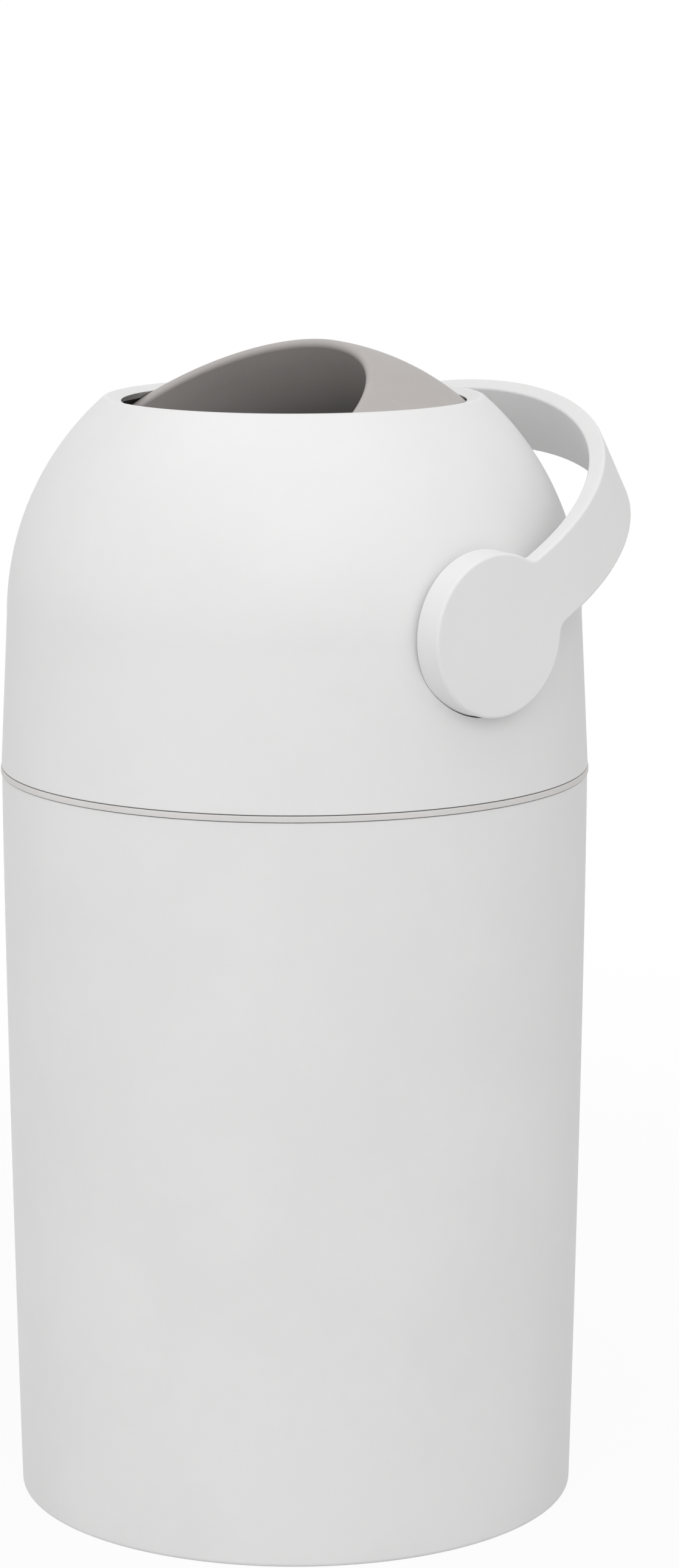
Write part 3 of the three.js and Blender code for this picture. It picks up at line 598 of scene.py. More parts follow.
class Outline:
    """A line of radii and heights beside the Z axis, drawn point by point and then turned into a solid."""

    def __init__(self, radius, height):
        self.mesh = bmesh.new()
        self.first = self.mesh.verts.new(metres((radius, 0, height)))
        self.last = self.first
        self.rounds = []

    def to(self, radius, height, soft=0.0, segments=3):
        """A straight line to a point, whose corner may be softened by soft millimetres."""
        self.last = drawn_to(self.mesh, self.last, (radius, 0, height))
        if soft:
            self.rounds.append((self.last, soft, segments))
        return self

    def arc(self, radius, height, degrees, steps):
        """An arc about a middle point; positive degrees turn from the axis's right towards up."""
        grown = spun(self.mesh, [self.last], degrees, steps, (radius, 0, height), (0, -1, 0))
        self.last = grown["geom_last"][0]
        return self

    def ball_to(self, middle, radius, height, steps):
        """The shorter arc of a ball, whose middle is on the axis, to the direction of an end point."""
        now = math.atan2(self.last.co.z / MM - middle, self.last.co.x / MM)
        then = math.atan2(height - middle, radius)
        turn = (math.degrees(then - now) + 180) % 360 - 180
        return self.arc(0, middle, turn, steps)

    def close(self):
        self.mesh.edges.new((self.last, self.first))
        return self

    def softened(self):
        for size in sorted({row[1:] for row in self.rounds}):
            corners = [row[0] for row in self.rounds if row[1:] == size and row[0].is_valid]
            rounded(self.mesh, corners, *size, "VERTICES")
        return self.mesh

    def turned(self, steps=ROUND_STEPS):
        mesh = self.softened()
        spun(mesh, mesh.verts[:] + mesh.edges[:], 360, steps, use_merge=True)
        bmesh.ops.remove_doubles(mesh, verts=mesh.verts, dist=TINY)
        bmesh.ops.dissolve_degenerate(mesh, edges=mesh.edges, dist=TINY)
        return facing_out(mesh)

    def plate(self, width, degrees):
        """A flat plate of the closed outline, set at an angle round the axis."""
        mesh = self.softened()
        face = filled(mesh)
        grown = bmesh.ops.extrude_face_region(mesh, geom=face, use_keep_orig=True)["geom"]
        far = [item for item in grown if isinstance(item, bmesh.types.BMVert)]
        bmesh.ops.translate(mesh, vec=(0, width * MM, 0), verts=far)
        bmesh.ops.translate(mesh, vec=(0, -width / 2 * MM, 0), verts=mesh.verts)
        return moved(facing_out(mesh), about_z(degrees))


def rod(radius, low, high, soft=0.0, steps=PIVOT_STEPS):
    shape = Outline(0, low).to(radius, low, soft).to(radius, high, soft).to(0, high)
    return shape.turned(steps)


def oblong(inner, outer, low, high):
    """A closed outline between two radii and two heights."""
    return Outline(inner, low).to(outer, low).to(outer, high).to(inner, high).close()


def wedge(inner, outer, from_degrees, to_degrees, low, high, steps=12):
    """A block of a ring about Z."""
    mesh = moved(oblong(inner, outer, low, high).mesh, about_z(from_degrees))
    spun(mesh, filled(mesh), to_degrees - from_degrees, steps)
    return closed(mesh)


def block(low, high):
    """A box between two corners."""
    mesh = bmesh.new()
    bmesh.ops.create_cube(mesh, size=1)
    low, high = Vector(low), Vector(high)
    bmesh.ops.scale(mesh, vec=(high - low) * MM, verts=mesh.verts)
    bmesh.ops.translate(mesh, vec=(high + low) / 2 * MM, verts=mesh.verts)
    return mesh


def half_above(mesh, height, up):
    """What is left of a mesh above a level (up is 1) or below it (up is -1)."""
    sliced(mesh, (0, 0, height), (0, 0, up), clear_inner=True)
    return closed(mesh)


AT_PIVOT = shift(0, 0, PIVOT_HEIGHT)
IN_DRUM = AT_PIVOT @ Matrix.Rotation(HANDLE_LIFT, 4, "X")
IN_PISTON = IN_DRUM @ shift(0, 0, PISTON_REST)
FLIPPED = Matrix.Rotation(math.pi, 4, "X")
SIDES = (1, -1)


def together(meshes):
    """Several meshes that don't touch each other, as one."""
    whole = bmesh.new()
    for mesh in meshes:
        data = bpy.data.meshes.new("share")
        mesh.to_mesh(data)
        mesh.free()
        whole.from_mesh(data)
        bpy.data.meshes.remove(data)
    return whole


def linked(name, data):
    made = bpy.data.objects.new(name, data)
    bpy.context.scene.collection.objects.link(made)
    return made


def loose(name, mesh):
    """A mesh as an object, without a body or a finish."""
    data = bpy.data.meshes.new(name)
    mesh.to_mesh(data)
    mesh.free()
    return linked(name, data)


def shape_with(made, tools):
    """Cuts or joins a piece with tools, given as pairs of a word and a mesh, and keeps the result."""
    for operation, mesh in tools:
        tool = loose("tool", mesh)
        change = made.modifiers.new("shape", "BOOLEAN")
        change.operation = operation
        change.solver = "EXACT"
        change.object = tool
        bpy.context.view_layer.update()
        result = bpy.data.meshes.new_from_object(made.evaluated_get(bpy.context.evaluated_depsgraph_get()))
        made.modifiers.clear()
        made.data = result
        bpy.data.objects.remove(tool)
    return made


def shaped(mesh, tools):
    """The mesh that tools leave of another."""
    made = shape_with(loose("shape", mesh), tools)
    result = bmesh.new()
    result.from_mesh(made.data)
    bpy.data.objects.remove(made)
    return result


def piece(name, mesh, body, finish, tools=()):
    """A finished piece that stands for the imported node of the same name."""
    made = loose(f"{name}_form", mesh)
    shape_with(made, tools)
    made.data.materials.clear()
    made.data.materials.append(finish)
    made.data.shade_smooth()
    made.data.set_sharp_from_angle(angle=math.radians(SHARP_ANGLE))
    weighted = made.modifiers.new("even_shading", "WEIGHTED_NORMAL")
    weighted.keep_sharp = True
    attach(made, body)
    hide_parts(name)


# Bucket


def bucket_radius_at(height):
    share = max(0.0, 1 - height / BUCKET_HEIGHT)
    return BUCKET_TOP_RADIUS - (BUCKET_TOP_RADIUS - BUCKET_BASE_RADIUS) * share**BUCKET_FLARE


def bucket():
    foot = BUCKET_BASE_RADIUS - BUCKET_FILLET
    floor_top = BASE_RECESS + BUCKET_FLOOR
    floor_end = BUCKET_BASE_RADIUS - BUCKET_WALL - BUCKET_INNER_FILLET
    ring_inner = foot - STANDING_RING
    line = Outline(0, 0).to(BASE_PAD_RADIUS, 0, BLUNT_EDGE)
    line.to(BASE_PAD_RADIUS + BASE_RECESS, BASE_RECESS, BLUNT_EDGE)
    line.to(ring_inner - BASE_RECESS, BASE_RECESS, BLUNT_EDGE).to(ring_inner, 0, BLUNT_EDGE)
    line.to(foot, 0).arc(foot, BUCKET_FILLET, 90, FILLET_STEPS)
    rise = BUCKET_HEIGHT - BUCKET_FILLET
    heights = [BUCKET_FILLET + rise * i / WALL_STEPS for i in range(1, WALL_STEPS)]
    for height in heights:
        line.to(bucket_radius_at(height), height)
    line.to(BUCKET_TOP_RADIUS, BUCKET_HEIGHT, PLAIN_EDGE)
    line.to(BUCKET_TOP_RADIUS - BUCKET_WALL, BUCKET_HEIGHT, SOFT_EDGE)
    for height in reversed(heights):
        line.to(bucket_radius_at(height) - BUCKET_WALL, height)
    line.to(floor_end + BUCKET_INNER_FILLET, floor_top + BUCKET_INNER_FILLET)
    line.arc(floor_end, floor_top + BUCKET_INNER_FILLET, -90, steps=6).to(0, floor_top)
    piece("bucket", line.turned(), "bucket", BUCKET_WHITE)


# Bag ring


def bag_ring():
    skirt_inner = SKIRT_RADIUS - RING_SKIRT_WALL
    skirt_foot = RING_UNDERSIDE - RING_SKIRT_DEPTH
    line = Outline(skirt_inner, (skirt_foot + RING_UNDERSIDE) / 2)
    line.to(skirt_inner, skirt_foot, SOFT_EDGE).to(SKIRT_RADIUS, skirt_foot, SKIRT_EDGE)
    line.to(SKIRT_RADIUS, RING_UNDERSIDE).to(RING_RADIUS, RING_UNDERSIDE, FINE_EDGE)
    line.to(RING_RADIUS, RING_TOP, PLAIN_EDGE).to(COLLAR_RADIUS, RING_TOP)
    line.to(COLLAR_RADIUS, COLLAR_TOP, COLLAR_EDGE).to(COLLAR_INNER, COLLAR_TOP, COLLAR_EDGE)
    line.to(COLLAR_INNER, RING_UNDERSIDE, SHOULDER_EDGE)
    line.to(skirt_inner, RING_UNDERSIDE - SHOULDER_DROP, SHOULDER_EDGE).close()
    floor = COLLAR_RADIUS - CHANNEL_DEPTH
    beyond = RING_RADIUS + OVERRUN
    low, high = LUG_BOTTOM - SEAT_GAP, LUG_TOP + SEAT_GAP
    half = LUG_ANGLE / 2 + LUG_SLACK
    entries, runs = [], []
    for i in range(LUGS):
        start, end = 360 / LUGS * i - half, 360 / LUGS * i + half
        entries.append(wedge(floor, beyond, start, end, low, COLLAR_TOP + OVERRUN))
        runs.append(wedge(floor - SLIVER, beyond, start - LUG_TURN, end - SLIVER, low - SLIVER, high))
    tools = [("DIFFERENCE", together(entries)), ("DIFFERENCE", together(runs))]
    piece("bag_ring", line.turned(), "bag_ring", RING_GREY, tools)


def lid_seal():
    inner, outer = COLLAR_INNER + SEAT_GAP, COLLAR_RADIUS - SEAT_GAP
    low = COLLAR_TOP + SEAT_GAP
    high = low + LID_SEAL_HEIGHT
    line = Outline(inner, (low + high) / 2)
    for radius, height in ((inner, low), (outer, low), (outer, high), (inner, high)):
        line.to(radius, height, FULL_EDGE)
    piece("lid_seal", line.close().turned(), "lid_seal", RUBBER)


# Head


def spread(count):
    """Angles round the axis, evenly apart, that leave the pivots free."""
    return [360 / count * (i + 0.5) for i in range(count)]


def at_screw(angle, height=0):
    return about_z(angle) @ shift(SCREW_CIRCLE, 0, height)


def screw_holes():
    """The clearance holes for the cradle's screws, through its flange and into the head's bosses."""
    low, high = FLANGE_UNDERSIDE - OVERRUN, FLANGE_UNDERSIDE + CRADLE_SCREW_LENGTH + SEAT_GAP
    places = [at_screw(angle) for angle in spread(CRADLE_SCREWS)]
    return together(moved(rod(SCREW_HOLE, low, high, steps=SMALL_STEPS), place) for place in places)


def seat_pads():
    """What backs the pockets for the handle's discs, joined to the middle of the head's wall."""
    middle = HEAD_WALL / 2
    solid = Outline(0, HEAD_BOTTOM).to(HEAD_SKIRT_RADIUS - middle, HEAD_BOTTOM)
    solid.to(DOME_RADIUS - middle, DOME_HEIGHT).arc(0, DOME_HEIGHT, 44, steps=30)
    solid.to(0, DOME_HEIGHT + DOME_RADIUS)
    pad = (SEAT_PAD_RADIUS, SEAT_PLANE - SEAT_WALL, HEAD_SKIRT_RADIUS + OVERRUN)
    pads = together(moved(rod(*pad), AT_PIVOT @ about_x(side)) for side in SIDES)
    return shaped(pads, [("INTERSECT", solid.turned())])


def pivot_cutter(side):
    """The pocket for a disc, with the hole for the bush behind it."""
    hole, beyond = BUSH_RADIUS + SEAT_GAP, HEAD_SKIRT_RADIUS + OVERRUN
    line = Outline(0, DRUM_RADIUS).to(hole, DRUM_RADIUS).to(hole, SEAT_PLANE)
    line.to(POCKET_RADIUS, SEAT_PLANE).to(POCKET_RADIUS, beyond).to(0, beyond)
    return moved(line.turned(PIVOT_STEPS), AT_PIVOT @ about_x(side))


def head_shell():
    rim_foot = leg(CLEAR_RADIUS, RIM_UNDERSIDE - PIVOT_HEIGHT)
    crease_height = DOME_HEIGHT + leg(DOME_RADIUS, CREASE_RADIUS)
    crease_start = CREASE_RADIUS + 2 * CREASE_SOFT
    inner = DOME_RADIUS - HEAD_WALL
    ceiling = leg(inner, RIM_UNDERSIDE - DOME_HEIGHT)
    skirt_inner = HEAD_SKIRT_RADIUS - HEAD_WALL
    start = HEAD_BOTTOM + START_RISE
    line = Outline(head_inner_at(start), start).to(skirt_inner, HEAD_BOTTOM, SOFT_EDGE)
    line.to(HEAD_SKIRT_RADIUS, HEAD_BOTTOM, PLAIN_EDGE).to(DOME_RADIUS, DOME_HEIGHT)
    line.ball_to(DOME_HEIGHT, crease_start, DOME_HEIGHT + leg(DOME_RADIUS, crease_start), DOME_STEPS)
    line.to(CREASE_RADIUS, crease_height, CREASE_SOFT, segments=6)
    line.to(OPENING_RADIUS, OPENING_EDGE, RIM_ROUND, segments=4)
    line.ball_to(PIVOT_HEIGHT, rim_foot, RIM_UNDERSIDE, steps=3)
    line.to(ceiling, RIM_UNDERSIDE).ball_to(DOME_HEIGHT, inner, DOME_HEIGHT, WALL_STEPS).close()
    boss_top = BOSS_BOTTOM + BOSS_HEIGHT
    lug_reach = head_inner_at(LUG_BOTTOM) - LUG_DEPTH
    lug_root = head_inner_at(LUG_TOP) + WELD
    parts = [seat_pads()]
    for i in range(LUGS):
        start, end = 360 / LUGS * i - LUG_ANGLE / 2, 360 / LUGS * i + LUG_ANGLE / 2
        parts.append(wedge(lug_reach, lug_root, start, end, LUG_BOTTOM, LUG_TOP))
    for angle in spread(CRADLE_SCREWS):
        web = oblong(SCREW_CIRCLE, head_inner_at(boss_top) + WELD, BOSS_BOTTOM + SLIVER, boss_top - SLIVER)
        boss = moved(rod(BOSS_RADIUS, BOSS_BOTTOM, boss_top, PLAIN_EDGE, SMALL_STEPS), at_screw(angle))
        parts.append(shaped(boss, [("UNION", web.plate(BOSS_WEB, angle))]))
    cuts = [pivot_cutter(1), pivot_cutter(-1), screw_holes()]
    tools = [("UNION", together(parts)), ("DIFFERENCE", together(cuts))]
    piece("head_shell", line.turned(), "head", WHITE, tools)


def under_pivot(ball, radius):
    """The height of a ball's lower half at a radius, for a ball about the pivots."""
    return PIVOT_HEIGHT - leg(ball, radius)


def drum_cradle():
    outer = head_inner_at(FLANGE_TOP) - 2 * SEAT_GAP
    bowl = CRADLE_RADIUS + CRADLE_WALL
    lip = THROAT_RADIUS + CRADLE_LIP
    rib = COLLAR_INNER + SEAT_GAP - TURN_GAP
    rib_foot = FLANGE_UNDERSIDE - SEAL_RIB_HEIGHT
    root = leg(CRADLE_RADIUS, PIVOT_HEIGHT - FLANGE_TOP)
    foot = leg(bowl, PIVOT_HEIGHT - FLANGE_UNDERSIDE)
    line = Outline(THROAT_RADIUS, under_pivot(CLEAR_RADIUS, THROAT_RADIUS))
    line.to(lip, under_pivot(CLEAR_RADIUS, lip), PLAIN_EDGE).to(lip, under_pivot(CRADLE_RADIUS, lip))
    line.ball_to(PIVOT_HEIGHT, root, FLANGE_TOP, BOWL_STEPS).to(outer, FLANGE_TOP, PLAIN_EDGE)
    line.to(outer, FLANGE_UNDERSIDE, PLAIN_EDGE).to(rib, FLANGE_UNDERSIDE)
    line.to(rib, rib_foot, FINE_EDGE).to(rib - SEAL_RIB_WALL, rib_foot, FINE_EDGE)
    line.to(rib - SEAL_RIB_WALL, FLANGE_UNDERSIDE).to(foot, FLANGE_UNDERSIDE)
    line.ball_to(PIVOT_HEIGHT, THROAT_RADIUS, under_pivot(bowl, THROAT_RADIUS), BOWL_STEPS).close()
    tools = [("DIFFERENCE", screw_holes())]
    piece("drum_cradle", line.turned(), "head", DRUM_GREY, tools)


def top_drum_seal():
    high = RIM_UNDERSIDE - SEAT_GAP
    low = high - TOP_SEAL_HEIGHT
    dome = DOME_RADIUS - HEAD_WALL - SEAT_GAP
    inner = leg(SEAL_RADIUS, low - PIVOT_HEIGHT)
    line = Outline(inner, low).to(leg(dome, low - DOME_HEIGHT), low, SOFT_EDGE)
    line.to(leg(dome, high - DOME_HEIGHT), high, SOFT_EDGE)
    line.to(leg(SEAL_RADIUS, high - PIVOT_HEIGHT), high).ball_to(PIVOT_HEIGHT, inner, low, SEAL_STEPS)
    piece("top_drum_seal", line.turned(), "head", RUBBER)


def bottom_drum_seal():
    inner = THROAT_RADIUS + CRADLE_LIP + SEAT_GAP
    outer = inner + BOTTOM_SEAL_WIDTH
    bowl = CRADLE_RADIUS - SEAT_GAP
    line = Outline(inner, under_pivot(SEAL_RADIUS, inner))
    line.ball_to(PIVOT_HEIGHT, outer, under_pivot(SEAL_RADIUS, outer), SEAL_STEPS)
    line.to(outer, under_pivot(bowl, outer))
    line.ball_to(PIVOT_HEIGHT, inner, under_pivot(bowl, inner), SEAL_STEPS).close()
    piece("bottom_drum_seal", line.turned(), "head", RUBBER)


def pivot_bush(name, side):
    """A bush whose upper half is cut away inside, so that the stub's lug can turn half round."""
    flange = BUSH_RADIUS + BUSH_FLANGE_WIDTH
    step, end = BUSH_FACE + BUSH_FLANGE, SEAT_PLANE - SEAT_GAP
    line = Outline(BUSH_BORE, BUSH_FACE).to(flange, BUSH_FACE, PLAIN_EDGE).to(flange, step, PLAIN_EDGE)
    line.to(BUSH_RADIUS, step).to(BUSH_RADIUS, end, PLAIN_EDGE).to(BUSH_BORE, end, FINE_EDGE).close()
    half = 90 + STUB_LUG_ANGLE / 2 + STUB_STOP_SLACK
    up = 180 if side > 0 else 0
    reach = STUB_RADIUS + STUB_LUG_DEPTH + SEAT_GAP
    low, high = BUSH_FACE - OVERRUN, SEAT_PLANE + OVERRUN
    relief = wedge(STUB_RADIUS / 2, reach, up - half, up + half, low, high, PIVOT_STEPS // 2)
    mesh = shaped(line.turned(PIVOT_STEPS), [("DIFFERENCE", relief)])
    piece(name, moved(mesh, AT_PIVOT @ about_x(side)), "head", RING_GREY)


# Screws


def cross_recess():
    """The cross in a screw's head, tapered towards its foot."""
    arms = []
    for across, along in ((CROSS_LENGTH, CROSS_WIDTH), (CROSS_WIDTH + SLIVER, CROSS_LENGTH + SLIVER)):
        arm = block((-across / 2, -along / 2, -CROSS_DEPTH), (across / 2, along / 2, OVERRUN))
        foot = [v for v in arm.verts if v.co.z < 0]
        bmesh.ops.scale(arm, vec=(CROSS_TAPER, CROSS_TAPER, 1), verts=foot)
        arms.append(arm)
    return shaped(arms[0], [("UNION", arms[1])])


def screw(name, body, length, place):
    """A pan-head screw with its head's top at 0 and its tip down, before it is put in its place."""
    thread_foot = SCREW_SHANK - length
    threads = int((length - SCREW_HEAD_HEIGHT - 2 * SCREW_SHANK) / THREAD_PITCH)
    line = Outline(0, -length).to(SCREW_SHANK / 3, -length)
    for i in range(threads):
        height = thread_foot + THREAD_PITCH * i
        line.to(SCREW_SHANK, height).to(SCREW_SHANK - THREAD_DEPTH, height + THREAD_PITCH / 2)
    line.to(SCREW_SHANK, thread_foot + THREAD_PITCH * threads).to(SCREW_SHANK, -SCREW_HEAD_HEIGHT)
    line.to(SCREW_HEAD_RADIUS, -SCREW_HEAD_HEIGHT, SCREW_EDGE)
    line.to(SCREW_HEAD_RADIUS, -SCREW_HEAD_HEIGHT / 3, FINE_EDGE, segments=4)
    line.to(SCREW_HEAD_RADIUS - SCREW_HEAD_HEIGHT / 3, 0, PLAIN_EDGE, segments=4).to(0, 0)
    mesh = shaped(line.turned(SMALL_STEPS), [("DIFFERENCE", cross_recess())])
    piece(name, moved(mesh, place), body, STEEL)


def screws():
    height = FLANGE_UNDERSIDE - SEAT_GAP - SCREW_HEAD_HEIGHT
    for i, angle in enumerate(spread(CRADLE_SCREWS)):
        place = at_screw(angle, height) @ FLIPPED
        screw(f"cradle_screw_{i + 1}", "head", CRADLE_SCREW_LENGTH + SCREW_HEAD_HEIGHT, place)
    for name, side in (("hub_screw_right", 1), ("hub_screw_left", -1)):
        place = IN_DRUM @ shift(side * HUB_HEAD_FACE, 0, 0) @ about_x(-side)
        screw(name, "drum", HUB_SCREW_LENGTH, place)


# Drum, in its own frame: the middle of the ball is the origin, the bore runs along Z and the pivots along X


def trunnions(up):
    """The half bosses that carry the pivots, from the bore's wall out past the ball."""
    low = BORE_RADIUS + DRUM_WALL / 4
    bosses = [moved(rod(TRUNNION_RADIUS, low, TRUNNION_FACE, FINE_EDGE), about_x(side)) for side in SIDES]
    return [half_above(boss, up * (HALF_SPLIT + SLIVER), up) for boss in bosses]


def sockets():
    """The square sockets for the handle's drives, with the screw holes behind them."""
    width = DRIVE_WIDTH / 2 + SEAT_GAP
    shoulder = HUB_HEAD_FACE + SCREW_HEAD_HEIGHT + SEAT_GAP
    head = SCREW_HEAD_RADIUS + SEAT_GAP
    cuts = []
    for side in SIDES:
        socket = block((-width, -width, DRIVE_END - SEAT_GAP), (width, width, TRUNNION_FACE + OVERRUN))
        channel = Outline(0, MOUTH_RADIUS).to(head, MOUTH_RADIUS).to(head, shoulder)
        channel.to(SCREW_HOLE, shoulder).to(SCREW_HOLE, TRUNNION_FACE).to(0, TRUNNION_FACE)
        cuts.append(moved(shaped(socket, [("UNION", channel.turned(SMALL_STEPS))]), about_x(side)))
    return together(cuts)


def tongue(angle):
    """A snap tongue below the spigot, whose barb catches under a ledge in the other half."""
    inner = SPIGOT_RADIUS - SPIGOT_WALL + SLIVER
    outer = SPIGOT_RADIUS - SPIGOT_WALL + TONGUE_WALL
    end = -SPIGOT_DEPTH - TONGUE_REACH
    tip = end - TONGUE_BARB_HEIGHT - TONGUE_TIP
    root = -SPIGOT_DEPTH + WELD
    line = Outline(inner, root).to(inner, tip).to(outer, tip)
    for height in (end - TONGUE_BARB_HEIGHT, end):
        line.to(outer + TONGUE_BARB, height, KEEN_EDGE)
    return line.to(outer, end).to(outer, root).close().plate(TONGUE_WIDTH, angle)


def ledge(angle):
    inner = SPIGOT_RADIUS - SPIGOT_WALL + TONGUE_WALL + SEAT_GAP
    low = -SPIGOT_DEPTH - TONGUE_REACH + SEAT_GAP
    return oblong(inner, CAVITY_RADIUS + WELD, low, low + LEDGE_HEIGHT).plate(TONGUE_WIDTH, angle)


def spigot_notches():
    """Room in the top half's spigot for the bottom half's bosses."""
    clearance = TRUNNION_RADIUS + SEAT_GAP
    low = BORE_RADIUS + DRUM_WALL + SLIVER
    cuts = [moved(rod(clearance, low, TRUNNION_FACE + OVERRUN), about_x(side)) for side in SIDES]
    return together([half_above(cut, HALF_SPLIT - SLIVER, -1) for cut in cuts])


def half_outline(with_spigot):
    """One half above the split. The half with the spigot reaches past the split into the other."""
    narrowing = LIP_RADIUS - BORE_RADIUS
    reach = math.hypot(TAPER_LENGTH, narrowing)
    heading = math.atan2(TAPER_LENGTH, narrowing) + math.asin(LIP_ROUND / reach)
    start = heading + math.pi / 2
    turn = math.degrees(math.atan2(LIP_RISE, LIP_RADIUS) - start)
    top = LIP_RISE - DRUM_WALL
    edge = HALF_SPLIT + SPLIT_SOFT
    line = Outline(BORE_RADIUS, TAPER_FOOT / 2).to(BORE_RADIUS, TAPER_FOOT, TAPER_SOFT, segments=8)
    line.to(LIP_RADIUS + LIP_ROUND * math.cos(start), LIP_RISE + LIP_ROUND * math.sin(start))
    line.arc(LIP_RADIUS, LIP_RISE, turn, BOWL_STEPS).ball_to(0, leg(DRUM_RADIUS, edge), edge, DRUM_STEPS)
    line.to(DRUM_RADIUS - SPLIT_SOFT, HALF_SPLIT)
    if with_spigot:
        inside = SPIGOT_RADIUS - SPIGOT_WALL
        shelf = SPIGOT_ROOT + SPIGOT_WALL
        line.to(SPIGOT_RADIUS, HALF_SPLIT).to(SPIGOT_RADIUS, -SPIGOT_DEPTH, PLAIN_EDGE)
        line.to(inside, -SPIGOT_DEPTH, PLAIN_EDGE).to(inside, SPIGOT_ROOT)
        line.to(leg(CAVITY_RADIUS, shelf), shelf)
    else:
        socket = SPIGOT_DEPTH + SEAT_GAP
        line.to(CAVITY_RADIUS, HALF_SPLIT, FINE_EDGE).to(leg(CAVITY_RADIUS, socket), socket)
    line.ball_to(0, leg(CAVITY_RADIUS, top), top, BOWL_STEPS)
    bore_at_top = BORE_RADIUS - LIP_STEP * (top - TAPER_FOOT) / TAPER_LENGTH
    line.to(bore_at_top + DRUM_WALL, top).to(BORE_RADIUS + DRUM_WALL, TAPER_FOOT)
    return line.to(BORE_RADIUS + DRUM_WALL, HALF_SPLIT).to(BORE_RADIUS, HALF_SPLIT, KEEN_EDGE).close()


def drum_top_half():
    parts = [tongue(angle) for angle in spread(TONGUES)] + trunnions(1)
    tools = [("DIFFERENCE", spigot_notches()), ("UNION", together(parts)), ("DIFFERENCE", sockets())]
    mesh = shaped(half_outline(True).turned(), tools)
    piece("drum_top_half", moved(mesh, IN_DRUM), "drum", DRUM_GREY)


def drum_bottom_half():
    parts = [ledge(angle) for angle in spread(TONGUES)] + trunnions(-1)
    tools = [("UNION", together(parts)), ("DIFFERENCE", sockets())]
    mesh = shaped(moved(half_outline(False).turned(), FLIPPED), tools)
    piece("drum_bottom_half", moved(mesh, IN_DRUM), "drum", DRUM_GREY)


# Handle


def bow_middle():
    """The strap's middle line from its far end to a pivot: distance, place and outward direction."""
    depth = STRAP_REACH - SLIVER - STRAP_STRAIGHT - STRAP_THICKNESS / 2
    table = []
    travelled = 0.0
    for i in range(BOW_STEPS + 1):
        angle = math.pi / 2 * (1 - i / BOW_STEPS)
        place = Vector((STRAP_MIDDLE * math.cos(angle), STRAP_STRAIGHT + depth * math.sin(angle), 0))
        outward = Vector((depth * math.cos(angle), STRAP_MIDDLE * math.sin(angle), 0)).normalized()
        if table:
            travelled += (place - table[-1][1]).length
        table.append((travelled, place, outward))
    return table


def bent(table, along):
    """Where a distance from the bow's far end lies on the strap's middle line."""
    flip = Vector((1 if along >= 0 else -1, 1, 1))
    along = abs(along)
    if along >= table[-1][0]:
        place = Vector((STRAP_MIDDLE, STRAP_STRAIGHT - (along - table[-1][0]), 0))
        outward = Vector((1, 0, 0))
    else:
        i = next(i for i, row in enumerate(table) if row[0] > along)
        before, after = table[i - 1], table[i]
        share = (along - before[0]) / (after[0] - before[0])
        place = before[1].lerp(after[1], share)
        outward = before[2].lerp(after[2], share).normalized()
    return place * flip, outward * flip


def arc_of(mesh, start, middle, degrees, steps):
    """Sweeps a vertex round a middle point in the flat, and gives the arc's vertices in order."""
    before = set(mesh.verts)
    spun(mesh, [start], degrees, steps, middle)
    here, order = start, [start]
    fresh = set(mesh.verts) - before
    while fresh:
        here = next(e.other_vert(here) for e in here.link_edges if e.other_vert(here) in fresh)
        fresh.discard(here)
        order.append(here)
    return order


def flat_end(total):
    """One half of the unrolled handle: a disc, its neck and the strap as far as the bow's far end."""
    mesh = bmesh.new()
    half = STRAP_WIDTH / 2
    neck_end = leg(DISC_RADIUS + NECK_FILLET, half + NECK_FILLET)
    swing = math.degrees(math.asin((half + NECK_FILLET) / (DISC_RADIUS + NECK_FILLET)))
    top = mesh.verts.new(Matrix.Rotation(math.radians(swing), 3, "Z") @ Vector((DISC_RADIUS * MM, 0, 0)))
    rim = arc_of(mesh, top, (0, 0, 0), 360 - 2 * swing, PIVOT_STEPS)
    low = rim[-1]
    inner = arc_of(mesh, low, (0, 0, 0), 2 * swing, PIVOT_STEPS // 6)
    bmesh.ops.weld_verts(mesh, targetmap={inner.pop(): top})
    inner.append(top)
    upper = arc_of(mesh, top, (neck_end, half + NECK_FILLET, 0), 90 - swing, FILLET_STEPS)
    lower = arc_of(mesh, low, (neck_end, -half - NECK_FILLET, 0), swing - 90, FILLET_STEPS)
    far_up = drawn_to(mesh, upper[-1], (total, half, 0))
    far_down = drawn_to(mesh, lower[-1], (total, -half, 0))
    mesh.edges.new((far_up, far_down))
    disc = mesh.faces.new(rim + inner[1:-1])
    strap = mesh.faces.new(inner[::-1] + lower[1:] + [far_down, far_up] + upper[:0:-1])
    return mesh, disc, strap


